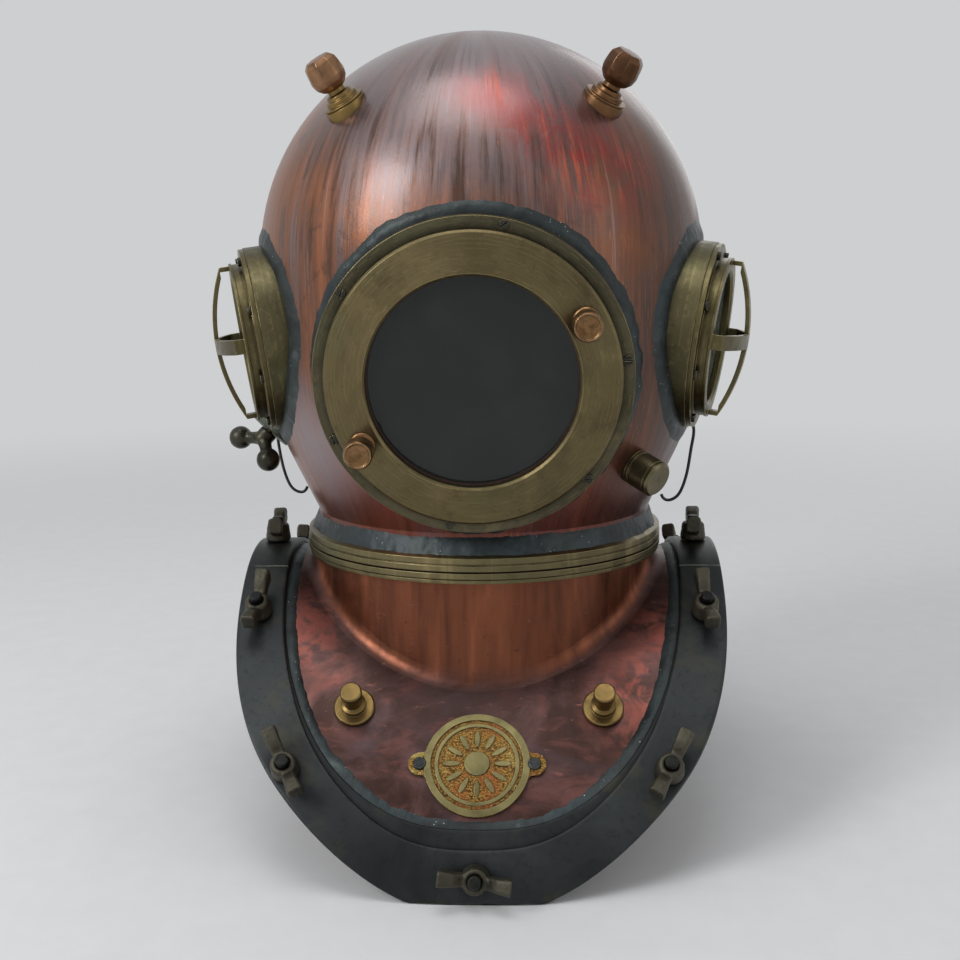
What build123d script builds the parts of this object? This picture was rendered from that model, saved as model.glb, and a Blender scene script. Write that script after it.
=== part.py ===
from build123d import *
import os
from math import asin, cos, hypot, radians, sin, sqrt, tan

os.makedirs("parts", exist_ok=True)

# Copper bonnet, spun in one piece
bonnet_radius = 150.0
bonnet_centre_height = 367.0
bonnet_side_foot_height = 310.0
bonnet_turn_radius = 170.0
bonnet_taper_angle = 25.2
bonnet_collar_radius = 116.2
bonnet_foot_height = 180.0
sheet_thickness = 2.2

# Front port
front_port_reach = 147.2
front_port_height = 297.7
port_tilt = 8.0
front_frame_radius = 94.0
front_tube_radius = 80.0
front_thread_radius = 78.0
front_thread_depth = 16.0
front_seat_radius = 66.0
front_tube_depth = 25.0
front_ring_radius = 86.6
front_ring_lift = 0.4
front_ring_rim_height = 6.9
front_ring_rim_step = 1.3
front_ring_crown_height = 12.9
front_opening_radius = 61.8
front_lip_bevel = 1.4
front_boss_depth = 14.0
thread_clearance = 0.3
front_glass_radius = 68.0
front_glass_thickness = 9.0
front_glass_top = 5.0
bedding_thickness = 1.5
glass_clearance = 0.3
retainer_thickness = 4.0
retainer_inner_radius = 62.5
front_knob_angle = 29.0
front_knob_orbit = 74.0
front_knob_foot_radius = 8.2
front_knob_foot_height = 2.6
front_knob_neck_radius = 4.6
front_knob_neck_height = 9.0
front_knob_radius = 8.6
front_knob_height = 24.0
front_knob_root = 6.0
front_knob_edge = 1.8
front_knob_fit = 0.05
front_knob_skirt = 2.6
front_screw_orbit = 90.3
front_screw_angles = (7.0, 78.0, 145.6, 203.0, 260.0, 318.0)

# Port screws
screw_head_radius = 2.9
screw_head_sink = 1.5
screw_head_proud = 0.7
screw_shank_radius = 1.7
screw_length = 9.0
side_screw_length = 6.4
screw_slot_width = 0.9
screw_slot_depth = 0.9
screw_slot_turn = 37.0

# Side ports
side_port_azimuth = 75.0
side_port_orbit = 164.0
side_port_height = 315.5
side_flange_radius = 61.0
side_flange_plane = 11.0
side_cover_flange_radius = 60.4
side_cover_flange_thickness = 3.2
side_cover_gap = 0.1
side_cover_radius = 51.5
side_rim_radius = 52.3
side_rim_height = 1.6
side_lip_radius = 43.0
side_lip_depth = 5.6
side_tube_radius = 50.0
side_tube_depth = 27.0
side_glass_radius = 46.0
side_glass_recess_radius = 46.3
side_glass_thickness = 7.6
side_seat_radius = 41.0
side_gasket_thickness = 0.8
side_screw_orbit = 56.4
side_screw_count = 8
side_screw_turn = 22.5
guard_bar_width = 7.0
guard_bar_thickness = 3.0
guard_bow = 18.6
guard_span_radius = 50.6
guard_post_height = 6.4
guard_foot_sink = 2.0

# Soft solder bands
solder_thickness = 2.0
front_solder_width = 7.5
side_solder_width = 13.0
neck_solder_foot = 4.4
neck_solder_top = 1.3
neck_solder_height = 11.0

# Neck joint
joint_height = 177.0
neck_ring_radius = 124.2
corselet_ring_height = 7.2
bonnet_ring_height = 10.5
ring_groove_depth = 0.9
ring_groove_width = 0.9
ring_band_height = 3.6
ring_top_chamfer = 3.2
gasket_thickness = 1.0
gasket_seat_half = 0.5
gasket_inner_radius = 112.0
gasket_outer_radius = 121.5
joint_clearance = 0.15
ring_skirt_radius = 111.0
ring_skirt_depth = 20.6
spigot_radius = 107.2
spigot_bore_radius = 103.6
spigot_depth = 20.0
lug_height = 3.0
lug_count = 4
lug_arc = 42.0
upper_lug_drop = 10.0
lower_lug_drop = 17.0
lug_clearance = 0.5

# Corselet
arch_height = 171.0
crown_radius = 100.0
crown_angle = 30.0
flank_radius = 497.0
flank_angle = 47.0
hem_radius = 148.0
hem_end_angle = 84.0
arch_reach = 400.0
brail_thickness = 3.2
rim_thickness = 2.8
neck_radius = 117.0
neck_root_radius = 12.0
neck_root_share = 0.37
outer_half_width = 162.3
outer_half_depth = 202.0
outer_power = 3.26
inner_half_width = 134.5
inner_half_depth = 190.6
inner_power = 2.77
rim_inner_half_depth = 185.2
sheet_edge_inset = 2.5
corselet_solder_width = 8.5
corselet_solder_thickness = 1.3
brail_gap = 0.5
brail_joint_share = 0.205

# Studs and wing nuts
stud_radius = 4.0
stud_head_radius = 5.6
stud_head_height = 1.8
stud_length = 17.5
stud_hole_clearance = 0.3
nut_clearance = 0.08
stud_centres = ((0.0, -196.6), (114.5, -165.0), (146.5, -79.0), (148.6, 0.0))
nut_hub_radius = 8.8
nut_hub_top_radius = 7.6
nut_hub_height = 13.0
nut_foot_height = 3.0
nut_lift = 0.35
nut_wing_reach = 21.5
nut_wing_root = 6.0
nut_wing_low = 4.5
nut_wing_tip_low = 9.0
nut_wing_tip_high = 20.5
nut_wing_shoulder = 13.0
nut_wing_thickness = 8.4
nut_turns = (-7.0, 61.7, 94.0, 84.0, 70.0, 118.0, 12.0, 63.0, 97.0, 96.0, 85.4, 118.3)

# Weight studs on the breast
weight_stud_centre = (77.3, -134.0)
weight_foot_radius = 12.8
weight_foot_height = 3.2
weight_foot_sink = 3.0
weight_collar_radius = 7.6
weight_collar_height = 6.5
weight_stem_radius = 5.4
weight_button_radius = 6.7
weight_button_low = 17.0
weight_button_high = 21.5
small_edge = 0.8

# Badge place
badge_centre_y = -161.0
badge_radius = 32.0
badge_thickness = 2.2
badge_rim_width = 4.0
badge_relief = 0.9
badge_ear_radius = 7.0
badge_ear_blend = 3.5
badge_solder_gap = 0.3
badge_screw_spacing = 34.6
badge_boss_radius = 7.5
badge_ray_count = 12
badge_ray_orbit = 15.5
badge_ray_half_length = 5.0
badge_ray_half_width = 1.5
badge_band_inner = 23.5
badge_band_outer = 25.5
badge_shank_radius = 1.5
badge_screw_radius = 3.8
badge_screw_height = 1.7
badge_screw_edge = 0.5
badge_slot_turns = (32.0, -18.0)

# Dome studs
dome_stud_spot = (78.3, -87.0)
dome_stud_axis = (0.47, -0.36, 0.805)
dome_foot_radius = 13.5
dome_foot_height = 3.4
dome_collar_radius = 10.2
dome_collar_height = 6.4
dome_neck_radius = 5.6
dome_foot_sink = 9.0
dome_head_low = 12.0
dome_head_foot_radius = 7.4
dome_head_swell_radius = 11.3
dome_head_swell_height = 19.5
dome_head_shoulder_radius = 10.3
dome_head_shoulder_height = 28.6
dome_head_top_radius = 7.6
dome_head_height = 31.8

# Wire hooks at the neck sides
hook_wire_radius = 1.1
right_hook_y = 6.0
left_hook_y = 46.0
left_hook_spread = 8.4
hook_points = ((147.8, 253.0), (147.6, 238.0), (144.9, 220.0), (141.6, 208.0),
               (136.6, 200.2), (131.2, 198.3), (126.6, 202.6))
hook_foot_radius = 4.6
hook_foot_thickness = 3.6

# Spit cock on the wearer's left
cock_azimuth = 47.5
cock_drop = 22.0
cock_height = 238.4
cock_reach = 133.6
cock_radius = 11.6
cock_base_height = 5.2
cock_groove_depth = 0.9
cock_groove_width = 0.8
cock_groove_gap = 2.4
cock_base_sink = 12.0
cock_spigot_radius = 8.0
cock_spigot_sink = 16.0
cock_plug_radius = 6.0
cock_plug_height = 15.0
cock_bore_radius = 2.6
cock_cap_low = 5.6
cock_cap_high = 20.5
cock_cap_edge = 1.6
cock_cap_bore_depth = 10.0
cock_cap_collar = 3.2
running_clearance = 0.08

# Exhaust valve on the wearer's right
exhaust_point = (-153.6, 8.4, 249.4)
exhaust_azimuth = -66.0
exhaust_drop = 45.0
exhaust_mouth_radius = 16.0
exhaust_bell_radius = 26.0
exhaust_bell_depth = 20.0
exhaust_port_gap = 0.3
exhaust_spigot_radius = 14.5
exhaust_spigot_depth = 36.0
exhaust_chamber_radius = 11.6
exhaust_roof = 3.0
exhaust_seat_depth = 27.0
exhaust_seat_thickness = 3.0
exhaust_seat_radius = 7.5
exhaust_vent_radius = 1.7
exhaust_vent_orbit = 8.6
exhaust_vent_count = 8
exhaust_stem_radius = 2.6
exhaust_disc_radius = 10.4
exhaust_disc_thickness = 2.2
exhaust_valve_rest = 0.12
exhaust_stem_top = 1.5
handle_lift = 0.4
handle_hub_radius = 6.6
handle_hub_height = 11.5
handle_ball_radius = 8.3
handle_ball_orbit = 17.3
handle_ball_height = 16.6
handle_arm_root_radius = 4.6
handle_arm_tip_radius = 7.0
handle_arm_height = 7.0
handle_line = (0.7535, -0.5797, -0.3101)
handle_pocket_depth = 5.2
handle_pocket_radius = 3.2

# Air inlet elbow with non-return flap, at the back
inlet_azimuth = 155.0
inlet_height = 335.0
inlet_flange_radius = 25.0
inlet_flange_height = 4.5
inlet_pipe_radius = 19.5
inlet_bore_radius = 16.0
inlet_seat_height = 27.0
inlet_pipe_height = 31.0
inlet_sink = 9.0
inlet_waterway_radius = 9.5
elbow_pipe_radius = 14.0
elbow_turn_radius = 20.0
elbow_turn = 60.0
nozzle_radius = 15.5
nozzle_length = 18.0
flap_radius = 12.4
flap_thickness = 1.6
flap_rest = 0.12
flap_pivot_offset = 13.2
flap_barrel_radius = 1.7
flap_barrel_half = 5.0
flap_pin_radius = 0.9
flap_pin_half = 10.6

# Telephone boss, at the back
phone_azimuth = -155.0
phone_height = 335.0
phone_flange_radius = 21.0
phone_flange_height = 4.5
phone_boss_radius = 13.0
phone_boss_height = 22.0
phone_bore_radius = 8.0
phone_cap_radius = 16.5
phone_cap_low = 11.0
phone_cap_high = 26.5
phone_cap_edge = 1.6
phone_flat_count = 6
phone_gland_radius = 5.0

# Neck latch at the back
latch_pin_reach = 131.0
latch_pin_height = 190.5
latch_pin_radius = 2.0
latch_cheek_gap = 11.0
latch_cheek_thickness = 3.0
latch_cheek_radius = 5.0
latch_bracket_foot = 178.2
latch_bracket_back = 124.4
latch_bracket_top = 186.5
latch_catch_width = 10.2
latch_catch_depth = 7.0
latch_catch_foot = 165.0
latch_head_radius = 4.4
latch_stop_gap = 11.4
latch_stop_thickness = 4.0
latch_stop_reach = 136.0
latch_stop_low = 169.9
latch_stop_high = 176.2
latch_pin_hole_clearance = 0.08

# Air duct inside the dome
duct_depth = 7.0
duct_wall = 1.2
duct_width = 42.0
duct_foot_height = 312.0
duct_front_height = 396.0
duct_mouth_radius = 15.5

# Shares of one size used for another
half_share = 0.5
third_share = 1 / 3

half_turn = 180.0
full_turn = 360.0
quarter_turn = 90.0
reach_out = 60.0
spline_steps = 48


def upright(azimuth, drop):
    """Direction that leaves the neck axis at an azimuth from the front, sloping down by drop."""
    flat = cos(radians(drop))
    return Vector(flat * sin(radians(azimuth)), -flat * cos(radians(azimuth)), -sin(radians(drop)))


def facing(point, direction):
    """Plane at a point whose height axis is a direction and whose first axis stays level."""
    level = Vector(-direction.Y, direction.X, 0).normalized()
    return Plane(origin=point, x_dir=level, z_dir=direction)


def section_of(place):
    """Plane that holds a place's height axis, for outlines of radius and height."""
    return Plane(origin=place.origin, x_dir=place.x_dir, z_dir=place.x_dir.cross(place.z_dir))


def turned(place, outline):
    """Body turned about a place's height axis from an outline of radius and height."""
    with BuildPart() as body:
        with BuildSketch(section_of(place)):
            with BuildLine():
                Polyline(*outline, close=True)
            make_face()
        revolve(axis=Axis(place.origin, place.z_dir))
    return body.part


def ring_outline(inner, outer, low, high):
    return ((inner, low), (outer, low), (outer, high), (inner, high))


def screw_outline(length):
    """Outline of a cheese-head screw whose seat lies below the place by the head's sink."""
    return ((0, -length), (screw_shank_radius, -length), (screw_shank_radius, -screw_head_sink),
            (screw_head_radius, -screw_head_sink), (screw_head_radius, screw_head_proud),
            (0, screw_head_proud))


def bonnet_block(inset):
    """Solid body inside the bonnet's outer face, sunk by inset."""
    taper = radians(bonnet_taper_angle)
    turn_centre = bonnet_radius - bonnet_turn_radius
    turn = bonnet_turn_radius - inset
    turn_end = (turn_centre + turn * cos(taper), bonnet_side_foot_height - turn * sin(taper))
    collar = bonnet_collar_radius - inset
    run = (turn_end[0] - collar) / tan(taper)
    with BuildPart() as block:
        with BuildSketch(Plane.XZ):
            with BuildLine():
                CenterArc((0, bonnet_centre_height), bonnet_radius - inset, 0, quarter_turn)
                Line((bonnet_radius - inset, bonnet_centre_height),
                     (bonnet_radius - inset, bonnet_side_foot_height))
                CenterArc((turn_centre, bonnet_side_foot_height), turn, 0, -bonnet_taper_angle)
                Polyline(turn_end, (collar, turn_end[1] - run), (collar, bonnet_foot_height),
                         (0, bonnet_foot_height), (0, bonnet_centre_height + bonnet_radius - inset))
            make_face()
        revolve(axis=Axis.Z)
    return block.part


crown_centre = (0, arch_height - crown_radius)
crown_edge = (sin(radians(crown_angle)), cos(radians(crown_angle)))
flank_centre = (crown_centre[0] + (crown_radius - flank_radius) * crown_edge[0],
                crown_centre[1] + (crown_radius - flank_radius) * crown_edge[1])
flank_edge = (sin(radians(flank_angle)), cos(radians(flank_angle)))
hem_centre = (flank_centre[0] + (flank_radius - hem_radius) * flank_edge[0],
              flank_centre[1] + (flank_radius - hem_radius) * flank_edge[1])


def arch_block(inset):
    """Solid body under the shoulder arch, sunk by inset and cut off at the foot plane."""
    crown = crown_radius - inset
    flank = flank_radius - inset
    hem = hem_radius - inset
    end = radians(hem_end_angle)
    hem_end = (hem_centre[0] + hem * sin(end), hem_centre[1] + hem * cos(end))
    foot = hem_end[0] + hem_end[1] / tan(end)
    with BuildPart() as block:
        with BuildSketch(Plane.YZ):
            with BuildLine():
                CenterArc(crown_centre, crown, quarter_turn - crown_angle, crown_angle + crown_angle)
                CenterArc(flank_centre, flank, quarter_turn - flank_angle, flank_angle - crown_angle)
                CenterArc(hem_centre, hem, quarter_turn - hem_end_angle, hem_end_angle - flank_angle)
                CenterArc((-flank_centre[0], flank_centre[1]), flank, quarter_turn + crown_angle,
                          flank_angle - crown_angle)
                CenterArc((-hem_centre[0], hem_centre[1]), hem, quarter_turn + flank_angle,
                          hem_end_angle - flank_angle)
                if hem_end[1] > 0:
                    Polyline(hem_end, (foot, 0), (-foot, 0), (-hem_end[0], hem_end[1]))
                else:
                    Line(hem_end, (-hem_end[0], hem_end[1]))
            make_face()
        extrude(amount=arch_reach * half_share, both=True)
        split(bisect_by=Plane.XY, keep=Keep.TOP)
    return block.part


def arch_place(x, y, inset):
    """Plane on the arch at a plan position, its height axis square to the surface."""
    side = -1 if y < 0 else 1
    reach = abs(y)
    if reach <= crown_radius * crown_edge[0]:
        centre = crown_centre
        radius = crown_radius
    elif reach <= flank_centre[0] + flank_radius * flank_edge[0]:
        centre = flank_centre
        radius = flank_radius
    else:
        centre = hem_centre
        radius = hem_radius
    slope = asin((reach - centre[0]) / radius)
    foot = Vector(x, y, centre[1] + radius * cos(slope))
    outward = Vector(0, side * sin(slope), cos(slope))
    return Plane(origin=foot - outward * inset, x_dir=(1, 0, 0), z_dir=outward)


def plan_points(half_width, half_depth, power, spread):
    """Points round a rounded-oblong outline seen from above."""
    points = []
    for step in range(spline_steps):
        turn = radians(full_turn * step / spline_steps)
        along = cos(turn)
        across = sin(turn)
        x = (half_width + spread) * abs(along) ** (2 / power) * (1 if along >= 0 else -1)
        y = (half_depth + spread) * abs(across) ** (2 / power) * (1 if across >= 0 else -1)
        points.append((x, y))
    return points


def plan_block(half_width, half_depth, power, spread):
    """Upright body with a rounded-oblong plan."""
    with BuildPart() as block:
        with BuildSketch(Plane.XY):
            with BuildLine():
                Spline(*plan_points(half_width, half_depth, power, spread), periodic=True)
            make_face()
        extrude(amount=arch_height + reach_out)
    return block.part


def finish(piece, label):
    """Name a piece and write its file."""
    piece.part.label = label
    export_step(piece.part, "parts/" + label + ".step")


bonnet_outer = bonnet_block(0)
bonnet_inner = bonnet_block(sheet_thickness)
bonnet_solder_skin = bonnet_block(-solder_thickness)

front_place = Plane(origin=(0, -front_port_reach, front_port_height), x_dir=(1, 0, 0),
                    z_dir=upright(0, port_tilt))
side_places = {}
for side_name, side in (("left", -1), ("right", 1)):
    side_level = upright(side * side_port_azimuth, 0)
    side_spot = side_level * side_port_orbit + Vector(0, 0, side_port_height)
    side_places[side_name] = facing(side_spot, upright(side * side_port_azimuth, port_tilt))
cock_level = upright(cock_azimuth, 0)
cock_spot = cock_level * cock_reach + Vector(0, 0, cock_height)
cock_place = facing(cock_spot, upright(cock_azimuth, cock_drop))
exhaust_place = facing(Vector(*exhaust_point), upright(exhaust_azimuth, exhaust_drop))
inlet_level = upright(inlet_azimuth, 0)
inlet_place = facing(inlet_level * bonnet_radius + Vector(0, 0, inlet_height), inlet_level)
phone_level = upright(phone_azimuth, 0)
phone_place = facing(phone_level * bonnet_radius + Vector(0, 0, phone_height), phone_level)

# Bonnet shell
with BuildPart() as bonnet_shell:
    add(bonnet_outer)
    add(bonnet_inner, mode=Mode.SUBTRACT)
    with BuildSketch(front_place):
        Circle(front_tube_radius)
    extrude(amount=reach_out, both=True, mode=Mode.SUBTRACT)
    for side_place in side_places.values():
        with BuildSketch(side_place):
            Circle(side_tube_radius)
        extrude(amount=reach_out, both=True, mode=Mode.SUBTRACT)
    with BuildSketch(cock_place):
        Circle(cock_spigot_radius)
    extrude(amount=cock_spigot_sink, both=True, mode=Mode.SUBTRACT)
    with BuildSketch(exhaust_place):
        Circle(exhaust_spigot_radius)
    extrude(amount=exhaust_spigot_depth, both=True, mode=Mode.SUBTRACT)
    with BuildSketch(inlet_place):
        Circle(inlet_bore_radius)
    extrude(amount=inlet_sink, both=True, mode=Mode.SUBTRACT)
    with BuildSketch(phone_place):
        Circle(phone_bore_radius)
    extrude(amount=inlet_sink, both=True, mode=Mode.SUBTRACT)
finish(bonnet_shell, "bonnet_shell")

# Neck ring on the bonnet, with its interrupted thread
ring_low = joint_height + gasket_seat_half + joint_clearance
ring_high = joint_height + bonnet_ring_height
groove_low = ring_low + ring_band_height
groove_high = groove_low + ring_groove_width
ring_groove_radius = neck_ring_radius - ring_groove_depth
ring_upper_radius = neck_ring_radius - ring_groove_depth * half_share
spigot_foot = joint_height - spigot_depth
with BuildPart() as bonnet_neck_ring:
    with BuildSketch(Plane.XZ):
        with BuildLine():
            Polyline(
                (spigot_bore_radius, spigot_foot),
                (spigot_radius, spigot_foot),
                (spigot_radius, ring_low),
                (neck_ring_radius, ring_low),
                (neck_ring_radius, groove_low),
                (ring_groove_radius, groove_low),
                (ring_groove_radius, groove_high),
                (ring_upper_radius, groove_high),
                (ring_upper_radius, ring_high - ring_top_chamfer * half_share),
                (ring_upper_radius - ring_top_chamfer, ring_high),
                (bonnet_collar_radius, ring_high),
                (bonnet_collar_radius, bonnet_foot_height),
                (spigot_bore_radius, bonnet_foot_height),
                close=True)
        make_face()
    revolve(axis=Axis.Z)
    for turn_index in range(lug_count):
        lug_plane = Plane.XZ.rotated((0, 0, full_turn * turn_index / lug_count))
        for lug_top in (upper_lug_drop, lower_lug_drop):
            lug_high = joint_height - lug_top
            with BuildSketch(lug_plane):
                with BuildLine():
                    Polyline(*ring_outline(spigot_radius - thread_clearance,
                                           ring_skirt_radius - thread_clearance,
                                           lug_high - lug_height, lug_high), close=True)
                make_face()
            revolve(axis=Axis.Z, revolution_arc=lug_arc)
finish(bonnet_neck_ring, "bonnet_neck_ring")

# Neck ring on the corselet, with the matching lugs inside
corselet_ring_low = joint_height - corselet_ring_height
corselet_ring_high = joint_height - gasket_seat_half
neck_inner_radius = neck_radius - sheet_thickness
skirt_foot = joint_height - ring_skirt_depth
corselet_groove_high = corselet_ring_high - ring_band_height
corselet_groove_low = corselet_groove_high - ring_groove_width
with BuildPart() as corselet_neck_ring:
    with BuildSketch(Plane.XZ):
        with BuildLine():
            Polyline(
                (ring_skirt_radius, skirt_foot),
                (neck_inner_radius, skirt_foot),
                (neck_inner_radius, corselet_ring_low),
                (neck_ring_radius - ring_groove_depth, corselet_ring_low),
                (neck_ring_radius - ring_groove_depth, corselet_groove_low),
                (neck_ring_radius - ring_groove_depth - ring_groove_depth, corselet_groove_low),
                (neck_ring_radius - ring_groove_depth - ring_groove_depth, corselet_groove_high),
                (neck_ring_radius, corselet_groove_high),
                (neck_ring_radius, corselet_ring_high),
                (ring_skirt_radius, corselet_ring_high),
                close=True)
        make_face()
    revolve(axis=Axis.Z)
    for turn_index in range(lug_count):
        lug_plane = Plane.XZ.rotated((0, 0, full_turn * turn_index / lug_count))
        for lug_top in (upper_lug_drop, lower_lug_drop):
            lug_low = joint_height - lug_top + lug_clearance
            with BuildSketch(lug_plane):
                with BuildLine():
                    Polyline(*ring_outline(spigot_radius + thread_clearance,
                                           ring_skirt_radius + thread_clearance,
                                           lug_low, lug_low + lug_height), close=True)
                make_face()
            revolve(axis=Axis.Z, revolution_arc=lug_arc)
finish(corselet_neck_ring, "corselet_neck_ring")

# Leather washer in the neck joint
with BuildPart() as neck_gasket:
    with BuildSketch(Plane.XY.offset(corselet_ring_high)):
        Circle(gasket_outer_radius)
        Circle(gasket_inner_radius, mode=Mode.SUBTRACT)
    extrude(amount=gasket_thickness)
finish(neck_gasket, "neck_gasket")

# Soft solder on the bonnet: neck, front port and side ports
with BuildPart() as bonnet_solder:
    with BuildSketch(Plane.XZ):
        with BuildLine():
            Polyline((bonnet_collar_radius, ring_high),
                     (bonnet_collar_radius + neck_solder_foot, ring_high),
                     (bonnet_collar_radius + neck_solder_top, ring_high + neck_solder_height * half_share),
                     (bonnet_collar_radius, ring_high + neck_solder_height),
                     close=True)
        make_face()
    revolve(axis=Axis.Z)
    add(bonnet_outer, mode=Mode.SUBTRACT)
with BuildPart() as front_solder:
    with BuildSketch(front_place):
        Circle(front_frame_radius + front_solder_width)
        Circle(front_frame_radius, mode=Mode.SUBTRACT)
    extrude(amount=reach_out, both=True)
    add(bonnet_solder_skin, mode=Mode.INTERSECT)
    add(bonnet_outer, mode=Mode.SUBTRACT)
    add(turned(Plane.XY, ring_outline(0, bonnet_radius, 0, ring_high + neck_solder_height)),
        mode=Mode.SUBTRACT)
side_solders = []
for side_place in side_places.values():
    with BuildPart() as side_solder:
        with BuildSketch(side_place):
            Circle(side_flange_radius + side_solder_width)
            Circle(side_flange_radius, mode=Mode.SUBTRACT)
        extrude(amount=reach_out, both=True)
        add(bonnet_solder_skin, mode=Mode.INTERSECT)
        add(bonnet_outer, mode=Mode.SUBTRACT)
    side_solders.append(side_solder.part)

# Front frame, soldered over the shell's edge
front_screw_blank = screw_outline(screw_length)
side_screw_blank = screw_outline(side_screw_length)
front_screw_places = []
for screw_angle in front_screw_angles:
    screw_x = front_screw_orbit * cos(radians(screw_angle))
    screw_y = front_screw_orbit * sin(radians(screw_angle))
    screw_spot = front_place.from_local_coords((screw_x, screw_y, 0))
    front_screw_places.append(Plane(origin=screw_spot, x_dir=front_place.x_dir, z_dir=front_place.z_dir))
with BuildPart() as front_frame:
    with BuildSketch(front_place):
        Circle(front_frame_radius)
    extrude(amount=-reach_out)
    add(bonnet_outer, mode=Mode.SUBTRACT)
    with BuildSketch(front_place):
        Circle(front_tube_radius)
    extrude(amount=-front_tube_depth)
    with BuildSketch(front_place):
        Circle(front_seat_radius)
    extrude(amount=reach_out, both=True, mode=Mode.SUBTRACT)
    with BuildSketch(front_place):
        Circle(front_thread_radius)
    extrude(amount=-front_thread_depth, mode=Mode.SUBTRACT)
    for screw_place in front_screw_places:
        add(turned(screw_place, front_screw_blank), mode=Mode.SUBTRACT)
finish(front_frame, "front_frame")

# Side frames, covers with their crossed guards, glasses and washers
cover_foot = -side_flange_plane + side_cover_gap
cover_shoulder = cover_foot + side_cover_flange_thickness
side_screw_places = {}
for side_name, side_place in side_places.items():
    places = []
    for turn_index in range(side_screw_count):
        screw_turn = radians(side_screw_turn + full_turn * turn_index / side_screw_count)
        screw_spot = side_place.from_local_coords((side_screw_orbit * cos(screw_turn),
                                                   side_screw_orbit * sin(screw_turn),
                                                   cover_shoulder + screw_head_sink))
        places.append(Plane(origin=screw_spot, x_dir=side_place.x_dir, z_dir=side_place.z_dir))
    side_screw_places[side_name] = places
guard_rise = guard_bow - guard_post_height
guard_circle = (guard_span_radius ** 2 + guard_rise ** 2) / (guard_rise + guard_rise)
guard_post_x = guard_span_radius - guard_bar_thickness * half_share
guard_post_middle = (guard_post_height - guard_foot_sink) * half_share
guard_post_length = guard_post_height + guard_foot_sink
glass_top = -side_lip_depth
glass_foot = glass_top - side_glass_thickness
for side_name, side_place in side_places.items():
    with BuildPart() as side_frame:
        with BuildSketch(side_place.offset(-side_flange_plane)):
            Circle(side_flange_radius)
        extrude(amount=-reach_out)
        add(bonnet_outer, mode=Mode.SUBTRACT)
        with BuildSketch(side_place.offset(-side_flange_plane)):
            Circle(side_tube_radius)
        extrude(amount=side_flange_plane - side_tube_depth)
        with BuildSketch(side_place):
            Circle(side_seat_radius)
        extrude(amount=reach_out, both=True, mode=Mode.SUBTRACT)
        with BuildSketch(side_place):
            Circle(side_glass_recess_radius)
        extrude(amount=glass_foot - side_gasket_thickness, mode=Mode.SUBTRACT)
        for screw_place in side_screw_places[side_name]:
            add(turned(screw_place, side_screw_blank), mode=Mode.SUBTRACT)
    finish(side_frame, side_name + "_frame")

    guard_bars = []
    for bar_plane in (section_of(side_place),
                      Plane(origin=side_place.origin, x_dir=side_place.y_dir,
                            z_dir=side_place.y_dir.cross(side_place.z_dir))):
        with BuildPart() as guard_bar:
            with BuildSketch(bar_plane):
                with Locations((0, guard_bow - guard_circle)):
                    Circle(guard_circle)
                    Circle(guard_circle - guard_bar_thickness, mode=Mode.SUBTRACT)
                with Locations((0, guard_post_height - arch_reach * half_share)):
                    Rectangle(arch_reach, arch_reach, mode=Mode.SUBTRACT)
                for post_x in (-guard_post_x, guard_post_x):
                    with Locations((post_x, guard_post_middle)):
                        Rectangle(guard_bar_thickness, guard_post_length)
            extrude(amount=guard_bar_width * half_share, both=True)
        guard_bars.append(guard_bar.part)
    with BuildPart() as side_guard:
        add(turned(side_place, (
            (side_glass_recess_radius, cover_foot),
            (side_cover_flange_radius, cover_foot),
            (side_cover_flange_radius, cover_shoulder),
            (side_cover_radius, cover_shoulder),
            (side_cover_radius, -side_rim_height),
            (side_rim_radius, -side_rim_height),
            (side_rim_radius, 0),
            (side_lip_radius + side_rim_height, 0),
            (side_lip_radius, -side_rim_height),
            (side_lip_radius, glass_top),
            (side_glass_recess_radius, glass_top))))
        for bar in guard_bars:
            add(bar)
        for screw_place in side_screw_places[side_name]:
            add(turned(screw_place, side_screw_blank), mode=Mode.SUBTRACT)
    finish(side_guard, side_name + "_guard")

    with BuildPart() as side_glass:
        with BuildSketch(side_place.offset(glass_foot)):
            Circle(side_glass_radius)
        extrude(amount=side_glass_thickness)
    finish(side_glass, side_name + "_glass")

    with BuildPart() as side_gasket:
        with BuildSketch(side_place.offset(glass_foot - side_gasket_thickness)):
            Circle(side_glass_radius)
            Circle(side_seat_radius, mode=Mode.SUBTRACT)
        extrude(amount=side_gasket_thickness)
    finish(side_gasket, side_name + "_gasket")

# Slotted screws that hold the port frames and covers
port_screw_rows = [(place, front_screw_blank) for place in front_screw_places]
for side_name in side_places:
    port_screw_rows += [(place, side_screw_blank) for place in side_screw_places[side_name]]
port_screw_parts = []
for place_index, (screw_place, screw_blank) in enumerate(port_screw_rows):
    with BuildPart() as port_screw:
        add(turned(screw_place, screw_blank))
        with BuildSketch(screw_place.offset(screw_head_proud)):
            Rectangle(screw_head_radius + screw_head_radius + screw_head_radius, screw_slot_width,
                      rotation=place_index * screw_slot_turn)
        extrude(amount=-screw_slot_depth, mode=Mode.SUBTRACT)
    port_screw_parts.append(port_screw.part)
port_screws = Compound(children=port_screw_parts, label="port_screws")
export_step(port_screws, "parts/port_screws.step")

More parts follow.
